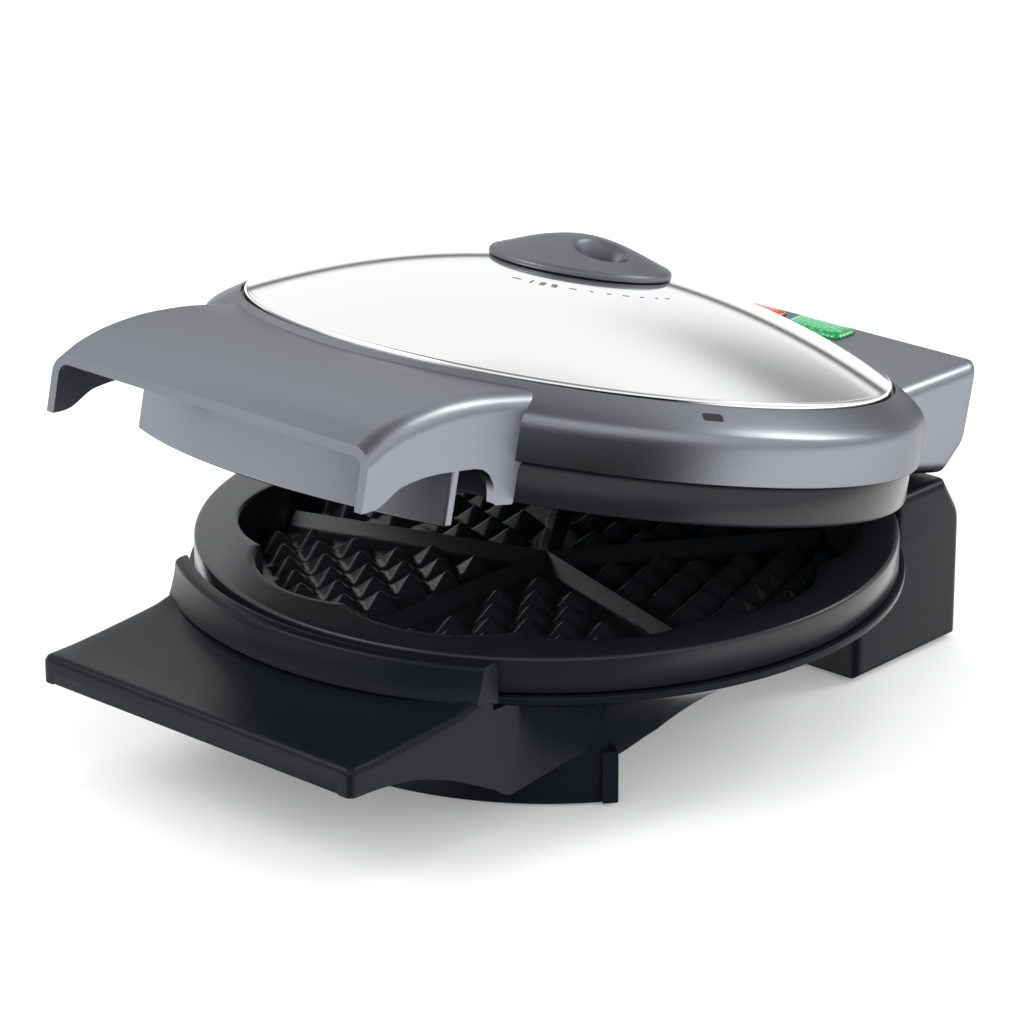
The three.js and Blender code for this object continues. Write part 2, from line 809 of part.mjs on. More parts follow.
function slots() {
  const middle = (housingRadius + coverSeatRadius) / 2;
  const height = (housingShoulder + shoulderRound + coverSeatZ) / 2;
  const lean = degrees(Math.atan2(coverSeatZ - housingShoulder, housingRadius - coverSeatRadius));
  const [high, wide] = [slotHeight / 2, slotWidth / 2];
  const cut = block([-high, -wide, -slotDepth], [high, wide, overrun]);
  return join(slotAngles.map((angle) => {
    const turn = radians(angle);
    return cut.rotate([0, lean, angle]).translate(middle * Math.cos(turn), middle * Math.sin(turn), height);
  }));
}

function lidHousing() {
  const inside = disc(housingRadius - housingWall, skirtTipZ - overrun, housingStart + upperPlateRim);
  const seat = disc(coverSeatRadius, coverSeatZ - coverSeatDrop, domeTop);
  const lamp = lampOuter().subtract(disc(coverSeatRadius - coverSeatWidth, 0, domeTop)).subtract(seat);
  const folded = join([handleSheet(), handleSkirts(), frontWall()]);
  const handle = folded.subtract(disc(housingRadius - wall, 0, domeTop));
  const shell = join([housingRing(), handle, lamp.subtract(inside)]).subtract(lampInner());
  const filled = join([shell, ...boardPosts(), ...armBosses()]);
  const room = disc(upperPlateRadius + 2 * gap, lampBottom - overrun, upperPlateTop + gap);
  const cuts = join([
    room, lensHole(-1), lensHole(1), slots(), ...knuckleSlots(knuckleRadius + knuckleRoom),
    armScrewHoles(armScrewStart, armScrewStart + screwLength + gap),
  ]);
  return filled.subtract(cuts);
}

function domeAt(radius) {
  return coverSeatZ + coverRim + coverRise * (1 - (radius / coverRadius) ** domePower);
}

function steelCover() {
  const low = coverSeatZ - coverSeatDrop + gap;
  const domeReach = coverRadius - coverRim - shaftRoom;
  const outer = [];
  const inner = [];
  for (let k = 0; k <= domeRings; k += 1) {
    const radius = shaftRoom + domeReach * Math.sin((k / domeRings) * (Math.PI / 2));
    outer.push([radius, domeAt(radius)]);
    inner.push([Math.min(radius, coverRadius - coverRim - coverThickness), domeAt(radius) - coverThickness]);
  }
  const within = coverRadius - coverThickness;
  const rim = [
    [coverRadius, coverSeatZ], [coverRadius, low],
    [within, low], [within, coverSeatZ - coverThickness],
  ];
  return turned([...outer, ...rim, ...inner.reverse().slice(1)]);
}

// Dial, in the closed lid's own places
const dialLow = domeAt(dialRadius) + dialLift;
const dialShoulder = dialLow + dialEdge; // where the hump starts above the dial's edge
const dialTop = dialShoulder + dialRise;
const boreTop = dialTop - dialWall - scoopDepth / 2;

function dialKnob() {
  const steps = 6;
  const top = [];
  for (let k = 0; k <= steps; k += 1) {
    const turn = ((k / steps) * Math.PI) / 2;
    top.push([dialRadius * Math.cos(turn), dialShoulder + dialRise * Math.sin(turn) ** 2]);
  }
  top[steps] = [0, dialTop];
  const under = domeTop + dialLift + gap;
  const body = turned([[0, under], [shaftRadius, under], [dialRadius, dialLow], ...top], roundSides / 2);
  const scoops = [-1, 1].map((side) => {
    const ball = new THREE.SphereGeometry(scoopRadius, smallSides, tinySides);
    ball.translate(side * scoopOffset, 0, dialTop - scoopDepth + scoopRadius);
    return solid(ball.rotateZ(radians(dialTurn)));
  });
  const bore = disc(shaftRadius + gap, dialLow - overrun, boreTop, smallSides);
  return body.subtract(join(scoops)).subtract(bore);
}

const thermostatLow = upperPlateBack + gap;

function dialShaft() {
  return disc(shaftRadius, thermostatLow + thermostatHeight + gap, boreTop - gap, smallSides);
}

function thermostat() {
  const top = thermostatLow + thermostatHeight;
  const neck = shaftRadius + gap;
  return turned([
    [0, thermostatLow], [thermostatRadius, thermostatLow], [thermostatRadius, top], [neckRadius, top],
    [neckRadius, top + neckHeight], [neck, top + neckHeight], [neck, top], [0, top],
  ], smallSides);
}

// Hinge pieces for one side
function hingeBracket(side) {
  const rear = towerRear - wall - gap;
  const ear = across([
    [hingeY - knuckleRadius, hingeZ], [hingeY, hingeZ], [hingeY - knuckleRoom, hingeZ - knuckleRadius],
    [rear - wall, towerChamferZ - wall], [rear, bracketTop],
    [rear, bracketBottom], [rear - bracketReach, bracketBottom],
  ], earInner, earInner + earThickness);
  const knuckle = bar(knuckleRadius, earInner, earInner + earThickness, hingeY, hingeZ);
  const flange = block([earInner - bracketFlange, rear - bracketThickness, bracketBottom],
    [earInner + earThickness, rear, bracketTop]);
  const holes = bar(pinRadius + pinFit, earInner - overrun, earInner + earThickness + overrun, hingeY, hingeZ)
    .add(rearward(screwShank + gap, rear - bracketThickness - overrun, rear + overrun)
      .translate(earInner - bracketFlange / 2, 0, hingeScrewZ));
  return mirrored(join([ear, knuckle, flange]).subtract(holes), side);
}

function hingePin(side) {
  const head = bar(pinHeadRadius, earInner - gap - pinHead, earInner - gap, hingeY, hingeZ);
  const shank = bar(pinRadius, earInner - gap - pinHead / 2, pinOuter + gap, hingeY, hingeZ);
  return mirrored(head.add(shank), side);
}

function hingeScrew(side) {
  const piece = screw(screwHead, screwHeadHeight, screwShank, screwLength).rotate([90, 0, 0]);
  return piece.translate(side * (earInner - bracketFlange / 2), towerRear + gap, hingeScrewZ);
}

function hingeArm(side) {
  const left = pinOuter - armThickness;
  const arm = across([
    [hingeY - knuckleRadius, hingeZ], [hingeY, hingeZ], [hingeY - wall, lampBottom + wall + gap],
    [armRear - gap, lampChamferZ + gap], [armRear - gap, armTop],
    [armFront, armTop], [armFront, lampChamferZ], [armNeck, lampChamferZ],
  ], left, pinOuter);
  const knuckle = bar(knuckleRadius, left, pinOuter, hingeY, hingeZ);
  const flangeEnd = [pinOuter + armFlange, armRear, armTop + armFlangeThickness];
  const flange = block([left, armFront, armTop], flangeEnd);
  const holes = bar(pinRadius + pinFit, left - overrun, pinOuter + overrun, hingeY, hingeZ)
    .add(disc(screwShank + gap, armTop - overrun, armTop + armFlangeThickness + overrun, tinySides)
      .translate(armBossX, armBossY, 0));
  return mirrored(join([arm, knuckle, flange]).subtract(holes), side);
}

function armScrew(side) {
  const piece = screw(screwHead, screwHeadHeight, screwShank, screwLength);
  return piece.translate(side * armBossX, armBossY, armScrewStart);
}

function grommet() {
  const outer = towerRear + gap;
  const inner = towerRear - wall - gap;
  const [start, end] = [inner - grommetFlangeThickness, outer + grommetFlangeThickness];
  const upright = turned([
    [grommetBore, start], [grommetFlange, start], [grommetFlange, inner], [grommetNeck, inner],
    [grommetNeck, outer], [grommetFlange, outer], [grommetFlange, end], [grommetBore, end],
  ], smallSides);
  return upright.rotate([-90, 0, 0]).translate(-grommetX, 0, grommetZ);
}

function terminalBlock() {
  const low = groundGap + wall + gap;
  return block(
    [-blockLength / 2, blockY - blockDepth / 2, low],
    [blockLength / 2, blockY + blockDepth / 2, low + blockHeight],
  );
}

function thermalFuse() {
  return bar(fuseRadius, -fuseLength / 2, fuseLength / 2, fuseY, plateBack - gap - fuseRadius);
}

function lampBoard() {
  return block(
    [-boardLength / 2, lampMiddle - boardWidth / 2, boardZ - boardThickness],
    [boardLength / 2, lampMiddle + boardWidth / 2, boardZ],
  );
}

// Scene graph
const painted = { color: 0x83868a, roughness: 0.42, metalness: 0.55 };
const steel = { color: 0xd9dadb, roughness: 0.16, metalness: 1 };
const blackPlastic = { color: 0x23282b, roughness: 0.34, metalness: 0 };
const nonStick = { color: 0x34383a, roughness: 0.5, metalness: 0.2 };
const bareMetal = { color: 0xa9abad, roughness: 0.38, metalness: 1 };
const rubber = { color: 0x1b1c1d, roughness: 0.9, metalness: 0 };
const dialGrey = { color: 0x6e7175, roughness: 0.45, metalness: 0.3 };
const redLens = { color: 0xdc461e, roughness: 0.2, metalness: 0 };
const greenLens = { color: 0x28aa5a, roughness: 0.2, metalness: 0 };
const bulbGlass = { color: 0xf0e0c8, roughness: 0.1, metalness: 0 };
const boardGreen = { color: 0x2d5a3c, roughness: 0.6, metalness: 0 };

const whole = new THREE.Group();
const model = new THREE.Group();
const lid = new THREE.Group();
const lidParts = new THREE.Group();
whole.add(model);
model.add(lid);
lid.add(lidParts);
lid.position.set(0, hingeY, hingeZ);
lid.rotation.x = -radians(openAngle);
lidParts.position.set(0, -hingeY, -hingeZ);

function place(parent, name, piece, look) {
  const mesh = piece.getMesh();
  const geometry = new THREE.BufferGeometry();
  const positions = new Float32Array(mesh.numVert * 3);
  for (let i = 0; i < mesh.numVert; i += 1) {
    positions.set(mesh.vertProperties.subarray(i * mesh.numProp, i * mesh.numProp + 3), i * 3);
  }
  geometry.setAttribute("position", new THREE.BufferAttribute(positions, 3));
  geometry.setIndex(new THREE.BufferAttribute(Uint32Array.from(mesh.triVerts), 1));
  geometry.computeVertexNormals();
  const node = new THREE.Mesh(geometry, new THREE.MeshStandardMaterial(look));
  node.name = name;
  parent.add(node);
}

place(model, "base_housing", baseHousing(), blackPlastic);
place(model, "lower_plate", lowerPlate(), nonStick);
place(model, "lower_heating_element", heatingElement(plateBack - gap - elementTube), bareMetal);
place(model, "lower_heat_shield", lowerShield(), bareMetal);
place(model, "bottom_cover", bottomCover(), blackPlastic);
place(model, "terminal_block", terminalBlock(), blackPlastic);
place(model, "thermal_fuse", thermalFuse(), bareMetal);
place(model, "cord_grommet", grommet(), rubber);
footPlaces().forEach(([x, y], k) => {
  const foot = disc(footRadius, 0, footHeight, smallSides);
  place(model, `rubber_foot_${k + 1}`, foot.translate(x, y, 0), rubber);
});
const coverScrew = screw(screwHead, screwHeadHeight, screwShank, screwLength)
  .translate(0, 0, panFloorZ - 2 * gap - coverPlateThickness);
ringOf(coverScrew, screwPitch, coverDirections()).forEach((piece, k) => {
  place(model, `cover_screw_${k + 1}`, piece, bareMetal);
});
const postScrew = screw(postScrewHead, screwHeadHeight, screwShank, postScrewLength);
const lowerScrew = postScrew.translate(0, 0, lowerShieldTop - shieldThickness - gap);
const upperScrew = postScrew.mirror([0, 0, 1]).translate(0, 0, upperShieldLow + shieldThickness + gap);
ringOf(lowerScrew, postPitch, postDirections()).forEach((piece, k) => {
  place(model, `lower_shield_screw_${k + 1}`, piece, bareMetal);
});
ringOf(upperScrew, postPitch, postDirections()).forEach((piece, k) => {
  place(lidParts, `upper_shield_screw_${k + 1}`, piece, bareMetal);
});
[["left", -1], ["right", 1]].forEach(([name, side]) => {
  place(model, `hinge_bracket_${name}`, hingeBracket(side), bareMetal);
  place(model, `hinge_pin_${name}`, hingePin(side), bareMetal);
  place(model, `bracket_screw_${name}`, hingeScrew(side), bareMetal);
  place(lidParts, `hinge_arm_${name}`, hingeArm(side), bareMetal);
  place(lidParts, `arm_screw_${name}`, armScrew(side), bareMetal);
});

place(lidParts, "lid_housing", lidHousing(), painted);
place(lidParts, "steel_cover", steelCover(), steel);
place(lidParts, "upper_plate", upperPlate(), nonStick);
place(lidParts, "upper_heating_element", heatingElement(upperPlateBack + gap + elementTube), bareMetal);
place(lidParts, "upper_heat_shield", upperShield(), bareMetal);
place(lidParts, "thermostat", thermostat(), bareMetal);
place(lidParts, "lens_heating", lens(-1), redLens);
place(lidParts, "lens_ready", lens(1), greenLens);
place(lidParts, "lamp_board", lampBoard(), boardGreen);
[["heating", -1], ["ready", 1]].forEach(([name, side]) => {
  const bulb = disc(lampBulbRadius, boardZ + gap, boardZ + gap + lampBulbHeight - wall, tinySides);
  place(lidParts, `bulb_${name}`, bulb.translate(side * lensOffset, lampMiddle, 0), bulbGlass);
});
place(lidParts, "dial_knob", dialKnob(), dialGrey);
place(lidParts, "dial_shaft", dialShaft(), bareMetal);

// The origin lies under the middle of the whole object, on the table.
whole.updateMatrixWorld(true);
const middle = new THREE.Box3().setFromObject(whole, true).getCenter(new THREE.Vector3());
model.position.set(-middle.x, -middle.y, 0);

export default whole;
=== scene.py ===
"""Heart waffle maker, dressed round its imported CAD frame.

Lengths in this file are millimetres until a piece is placed, then metres, as in the frame.
Pieces of the lid are worked out as on the closed lid and are then turned open about the hinge.
"""

import json
import math

import bmesh
import bpy
import numpy as np
from bpy.props import FloatProperty, FloatVectorProperty, IntProperty, PointerProperty
from mathutils import Matrix, Vector


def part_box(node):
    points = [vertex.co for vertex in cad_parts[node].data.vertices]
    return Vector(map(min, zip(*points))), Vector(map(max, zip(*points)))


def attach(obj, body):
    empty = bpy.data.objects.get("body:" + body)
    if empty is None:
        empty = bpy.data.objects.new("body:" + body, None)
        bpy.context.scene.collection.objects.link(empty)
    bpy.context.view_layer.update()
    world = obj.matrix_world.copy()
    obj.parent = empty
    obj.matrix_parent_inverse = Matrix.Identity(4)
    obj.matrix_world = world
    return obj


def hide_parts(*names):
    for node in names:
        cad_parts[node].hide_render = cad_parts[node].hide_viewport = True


bl_info = {
    "name": "Heart waffle maker",
    "version": (1, 0, 0),
    "blender": (4, 5, 0),
    "location": "View3D > Sidebar > Waffle maker",
    "description": "Dresses the packed frame of a heart waffle maker with smooth pieces and finishes",
    "category": "Object",
}

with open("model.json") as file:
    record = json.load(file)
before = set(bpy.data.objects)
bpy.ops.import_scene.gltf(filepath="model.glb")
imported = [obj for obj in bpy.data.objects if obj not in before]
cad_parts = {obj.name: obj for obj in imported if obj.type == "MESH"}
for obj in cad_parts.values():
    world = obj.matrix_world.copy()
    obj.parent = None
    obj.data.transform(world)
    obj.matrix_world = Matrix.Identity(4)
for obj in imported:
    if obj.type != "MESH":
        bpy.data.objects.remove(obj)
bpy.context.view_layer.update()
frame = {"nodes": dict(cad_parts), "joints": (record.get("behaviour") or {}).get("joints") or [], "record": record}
MM = 0.001
HINGE = next(j for j in frame["joints"] if j["name"] == "lid_hinge")
TILT = math.radians(-HINGE["range_deg"][0])
PLATE_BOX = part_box("lower_plate")
PLATE_Y = (PLATE_BOX[0].y + PLATE_BOX[1].y) / 2
BASE_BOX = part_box("base_housing")


def mm(metres):
    """A length of the frame in millimetres, to a thousandth."""
    return round(metres / MM, 3)


# Sizes that the frame's solids give
PLATE_R, PLATE_TOP = mm(PLATE_BOX[1].x), mm(PLATE_BOX[1].z)
RIM_R, RING_R, DOME_R = mm(BASE_BOX[1].x), mm(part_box("lid_housing")[1].x), mm(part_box("steel_cover")[1].x)
TONGUE_FRONT, TOWER_BACK = mm(BASE_BOX[0].y - PLATE_Y), mm(BASE_BOX[1].y - PLATE_Y)
BASE_LOW, TOWER_TOP = mm(BASE_BOX[0].z), mm(BASE_BOX[1].z)

# Other sizes shared by several pieces
PLATE_RIM = 11.1
LID_PLATE_R, LID_PLATE_Z, LID_PLATE_RIM = 108.8, 54.7, 11.9
PLATE_BACK_R, PLATE_BACK = 96.7, -16.4
HEARTS = 5
LOBE_OUT, LOBE_R = 55.0, 40.0
RIDGE_HIGH, RIDGE_HALF = 4.7, 3.4
RIM_TOP = 42.6
BEHIND_R = 109.4  # circle round the plates that the lamp housing and the tower leave free
HANDLE_HALF, HANDLE_FRONT, HANDLE_BACK, HANDLE_HIGH = 62.8, -151.8, -78.0, 86.4
TONGUE_HALF, TONGUE_BACK, TONGUE_LOW = 62.8, -80.0, 31.6
WEB_FRONT, WEB_LONG, WEB_FOOT = -93.34, 75.34, 11.0
SHOULDER, CREST = (108.6, 82.7), (100.3, 88.0)
SLOT_ANGLES = (-26, 46, 134, 206)
LAMP_HALF, LAMP_TOP, LAMP_BACK, LAMP_SLOPE = 71.4, 94.0, 117.4, math.atan2(7.6, 35.4)
LENS_OUT, LENS_Y, LENS_GAP = 14.0, 107.0, 0.45
LENS_HALF_X, LENS_HALF_Y, LENS_CORNER = 11.5, 5.2, 2.4
DIAL_R, DIAL_LOW = 28.0, 110.22
SCOOP_OUT, SCOOP_LOW, SCOOP_TURN = 12.4, 2.2, math.radians(-22)
SCALE_LINE = 0.5
DOME_LOW, DOME_RISE, DOME_POWER = 88.9, 22.4, 2.0

# The view of the photograph: angles in degrees, lengths in metres, the lens in mm, shifts in frame widths
VIEW_AZIMUTH, VIEW_ELEVATION, VIEW_AWAY, VIEW_AIM_HIGH = 41.7, 20.7, 1.2992, 0.060
VIEW_SENSOR, VIEW_LENS, VIEW_SHIFT = 36.0, 149.13, (-0.034, -0.0079)

# The stage, in metres. Each lamp: its place, what it faces, width, height, watts, and if it is mirrored
FLOOR_REACH, FLOOR_LINES = 9.0, 37
ROOM_FRONT = (0.664, -0.747, 0.0)
LAMPS = (
    ("key_light", (-0.9, -1.2, 1.5), (0.0, 0.0, 0.05), 1.3, 1.0, 13, True),
    ("fill_light", (1.6, -0.6, 0.8), (0.0, 0.0, 0.06), 0.9, 0.9, 7, False),
    ("top_light", (0.1, 0.3, 2.2), (0.0, 0.0, 0.05), 1.8, 1.8, 10, False),
    ("edge_light", (0.75, 1.6, 1.3), (0.0, 0.0, 0.08), 0.5, 0.8, 9, True),
)


# Placing

def on_base(points):
    """Model millimetres to row-frame metres: the frame's middle lies behind the plates' axis."""
    return np.asarray(points, float) * MM + np.array([0.0, PLATE_Y, 0.0])


def on_lid(points):
    """Closed-lid millimetres to row-frame metres: turned back about the hinge line by the open angle."""
    p = on_base(points)
    hinge_y, hinge_z = HINGE["pos_m"][1], HINGE["pos_m"][2]
    c, s = math.cos(TILT), math.sin(TILT)
    y, z = p[..., 1] - hinge_y, p[..., 2] - hinge_z
    return np.stack([p[..., 0], hinge_y + c * y + s * z, hinge_z - s * y + c * z], -1)


# Grids

def ease(t):
    """Smooth step: 3t^2 - 2t^3, held at 0 and 1 outside."""
    t = np.clip(t, 0, 1)
    return t * t * (3 - 2 * t)


def smooth_run(shares, start, end, count):
    """A smooth line through points given as shares of the way and of the rise from start to end.

    Monotone cubic: each piece is a Hermite curve whose slopes are the harmonic mean of its neighbours'."""
    s = np.asarray(shares, float)
    h = np.diff(s[:, 0])
    d = np.diff(s[:, 1]) / h
    inner = np.where(d[:-1] * d[1:] > 0, 2 * d[:-1] * d[1:] / (d[:-1] + d[1:] + 1e-12), 0)
    m = np.concatenate([[d[0]], inner, [d[-1]]])
    x = np.linspace(s[0, 0], s[-1, 0], count)
    i = np.clip(np.searchsorted(s[:, 0], x, side="right") - 1, 0, len(h) - 1)
    t = (x - s[i, 0]) / h[i]
    v = ((1 + 2 * t) * (1 - t) ** 2 * s[i, 1] + t * (1 - t) ** 2 * h[i] * m[i]
         + t * t * (3 - 2 * t) * s[i + 1, 1] + t * t * (t - 1) * h[i] * m[i + 1])
    start, end = np.asarray(start, float), np.asarray(end, float)
    return np.stack([start[0] + (end[0] - start[0]) * x, start[1] + (end[1] - start[1]) * v], -1)


def inset(outline, amount):
    """Moves each side of a closed outline inwards: corners go along the mitre of both sides' normals."""
    before = outline - np.roll(outline, 1, -2)
    after = np.roll(outline, -1, -2) - outline
    area = np.sum(outline[..., 0] * np.roll(outline[..., 1], -1, -1)
                  - outline[..., 1] * np.roll(outline[..., 0], -1, -1), -1)
    turn = np.sign(area)[..., None, None]

    def normal(v):
        """Unit normals of the sides, pointing inwards."""
        length = np.maximum(np.linalg.norm(v, axis=-1, keepdims=True), 1e-9)
        return np.stack([-v[..., 1], v[..., 0]], -1) / length * turn

    n1, n2 = normal(before), normal(after)
    mitre = (n1 + n2) / np.maximum(1 + np.sum(n1 * n2, -1, keepdims=True), 0.35)
    return outline + mitre * np.asarray(amount, float)[..., None, None]


def rounded(outline, reach, steps=5):
    """Rounds the corners of a closed outline: each corner becomes a parabola that starts reach before it.

    reach is one number or one for each corner, and never goes past 0.48 of a side."""
    before = np.roll(outline, 1, -2) - outline
    after = np.roll(outline, -1, -2) - outline
    length_b = np.maximum(np.linalg.norm(before, axis=-1, keepdims=True), 1e-9)
    length_a = np.maximum(np.linalg.norm(after, axis=-1, keepdims=True), 1e-9)
    r = np.broadcast_to(np.asarray(reach, float), outline.shape[:-1])[..., None]
    start = outline + before / length_b * np.minimum(r, 0.48 * length_b)
    end = outline + after / length_a * np.minimum(r, 0.48 * length_a)
    t = np.linspace(0, 1, steps)[:, None]
    curve = ((1 - t) ** 2 * start[..., None, :] + 2 * t * (1 - t) * outline[..., None, :]
             + t * t * end[..., None, :])
    return curve.reshape(*outline.shape[:-2], -1, 2)


def cells(rows, columns, close_rows=False, close_columns=False):
    """Four-sided faces of a grid: each takes a corner and its next neighbours along both directions."""
    i = np.arange(rows if close_rows else rows - 1)[:, None]
    j = np.arange(columns if close_columns else columns - 1)[None, :]
    i2, j2 = (i + 1) % rows, (j + 1) % columns
    corners = [i * columns + j, i * columns + j2, i2 * columns + j2, i2 * columns + j]
    return np.stack(corners, -1).reshape(-1, 4)


def capped(grid):
    """A grid whose columns close, with its first and its last row as one flat face each."""
    rows, columns = grid.shape[:2]
    first = list(range(columns))
    ends = [first[::-1], [(rows - 1) * columns + k for k in first]]
    return grid, cells(rows, columns, False, True).tolist() + ends


def folded_sheet(grid):
    """A grid whose columns go out along one skin of a sheet and back along the other. Its end faces tie the
    outer half to the inner half, side by side."""
    rows, columns = grid.shape[:2]
    k = np.arange(columns // 2 - 1)
    first = np.stack([k, k + 1, columns - 2 - k, columns - 1 - k], -1)
    ends = np.concatenate([first[:, ::-1], first + (rows - 1) * columns])
    return grid, np.concatenate([cells(rows, columns, False, True), ends]).tolist()


def polar(r, angle, z):
    """Points at radii and angles round the Z axis, at their heights: x = r cos a, y = r sin a."""
    return np.stack(np.broadcast_arrays(r * np.cos(angle), r * np.sin(angle), z), -1)


def turned(profile, steps):
    """Turns a closed (radius, height) profile round the Z axis."""
    a = np.linspace(0, 2 * np.pi, steps, endpoint=False)
    return polar(profile[:, :1], a, profile[:, 1:]), cells(len(profile), steps, True, True).tolist()


def swept(profiles, angles):
    """Carries a closed (radius, height) profile along angles round the Z axis, with a face at each end."""
    return capped(polar(profiles[..., 0], angles, profiles[..., 1]))


def pillow(outlines, across):
    """Carries closed (y, z) outlines across from left to right, with a flat face at each end."""
    x = np.broadcast_to(np.asarray(across, float)[:, None], outlines.shape[:2])
    return capped(np.stack([x, outlines[..., 0], outlines[..., 1]], -1))


def rounded_stations(half, radius, steps=5, middle=()):
    """Places across a block and how far its outline draws in there: quarter circles at both ends."""
    a = np.linspace(0, np.pi / 2, steps)
    x = half - radius + radius * np.cos(a)
    d = radius * (1 - np.sin(a))
    middle = np.asarray(middle, float)
    return (np.concatenate([-x, middle, x[::-1]]), np.concatenate([d, 0 * middle, d[::-1]]))


def folded(top, low, half, corner, thickness, steps=6):
    """A sheet folded down at both sides. For each station: up one side, round a quarter circle of radius
    corner, across, and down the other side, then back the same way inside, thinner by the thickness."""
    half, corner = (np.broadcast_to(value, (len(top),)) for value in (half, corner))
    a = np.linspace(0, np.pi / 2, steps)
    t = np.linspace(0, 1, 5)[:-1]

    def whole(h, r, drop):
        """One skin of the sheet, left side and right side, at a drop below the top line."""
        h, r = h[:, None], r[:, None]
        high, foot = top[:, 1:] - drop, low[:, 1:]
        leg = [h + 0 * t, low[:, :1] + (top[:, :1] - low[:, :1]) * t, foot + (high - r - foot) * t]
        arc = [h - r * (1 - np.cos(a)), top[:, :1] + 0 * a, high - r * (1 - np.sin(a))]
        right = np.concatenate([np.stack(leg, -1), np.stack(arc, -1)], 1)
        return np.concatenate([right * np.array([-1, 1, 1]), right[:, ::-1]], 1)

    outer = whole(half, corner, 0)
    inner = whole(half - thickness, np.maximum(corner - thickness, 0.4), thickness)
    return folded_sheet(np.concatenate([outer, inner[:, ::-1]], 1))


# Pieces

def make_piece(name, shapes, body, slot, material, nodes=(), sharp=32, bevel=0.0, edge_limit=30):
    """Joins grids that are already in metres into one mesh, closes seams and poles, turns its faces outwards,
    and puts it in the frame: it rides on a body and may stand for CAD nodes."""
    verts, faces = [], []
    for grid, quads in shapes:
        start = len(verts)
        verts.extend(grid.reshape(-1, 3).tolist())
        faces.extend([[start + k for k in face] for face in quads])
    mesh = bpy.data.meshes.new(name)
    mesh.from_pydata(verts, [], faces)
    tool = bmesh.new()
    tool.from_mesh(mesh)
    bmesh.ops.remove_doubles(tool, verts=tool.verts, dist=2e-6)
    bmesh.ops.dissolve_degenerate(tool, edges=tool.edges, dist=1e-6)
    bmesh.ops.recalc_face_normals(tool, faces=tool.faces)
    tool.to_mesh(mesh)
    tool.free()
    mesh.shade_smooth()
    mesh.set_sharp_from_angle(angle=math.radians(sharp))
    piece = bpy.data.objects.new(name, mesh)
    bpy.context.scene.collection.objects.link(piece)
    mesh.materials.append(material)
    if bevel:
        edge = piece.modifiers.new("edges", "BEVEL")
        edge.width = bevel * MM
        edge.segments = 3
        edge.limit_method = "ANGLE"
        edge.angle_limit = math.radians(edge_limit)
        edge.harden_normals = True
    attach(piece, body)
    if nodes:
        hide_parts(*nodes)
    return piece


def placed(place, *shapes):
    """Applies a placing to each grid."""
    return [(place(grid), faces) for grid, faces in shapes]


# Sizes and colours the user may change

def length_of(name, description, default, low, high):
    """A length the user may change, in millimetres."""
    return FloatProperty(name=name, description=description + ", in mm", default=default, min=low, max=high)


def colour_of(name, description, default):
    """A base colour the user may change, linear."""
    return FloatVectorProperty(name=name, description=description, subtype="COLOR", size=3, default=default,
                               min=0, max=1)


class WaffleSizes(bpy.types.PropertyGroup):
    """Sizes of the dressed waffle maker that can change without touching its frame."""

    sheet: length_of("Handle sheet", "Thickness of the lid's folded handle", 2.8, 1.5, 4)
    handle_corner: length_of("Handle corner", "Radius of the handle's folds", 6.0, 2, 10)
    pyramid_pitch: length_of("Pyramid pitch", "Distance between waffle pyramids", 11.2, 8, 16)
    pyramid_height: length_of("Pyramid height", "Height of the waffle pyramids", 5.2, 2, 8)
    pocket_depth: length_of("Pocket depth", "Depth of the hearts", 14.2, 8, 15)
    around: IntProperty(name="Steps around", description="Steps round the turned pieces",
                        default=192, min=48, max=360)
    plate_around: IntProperty(name="Plate steps", description="Steps round the cooking plates",
                              default=600, min=120, max=720)


class WaffleColours(bpy.types.PropertyGroup):
    """Base colours of the finishes, linear."""

    lid_grey: colour_of("Lid grey", "Paint of the lid housing", (0.256, 0.269, 0.294))
    black: colour_of("Black", "Plastic of the base", (0.0078, 0.0102, 0.0132))
    steel: colour_of("Steel", "Polished cover", (0.83, 0.83, 0.835))
    coat: colour_of("Non-stick coat", "Cooking plates", (0.0125, 0.0146, 0.0176))
    dial: colour_of("Dial", "Temperature dial", (0.148, 0.157, 0.173))
    lamp_red: colour_of("Orange-red lens", "Heating lamp's lens", (0.86, 0.1, 0.02))
    lamp_green: colour_of("Green lens", "Ready lamp's lens", (0.02, 0.5, 0.16))


# Finishes

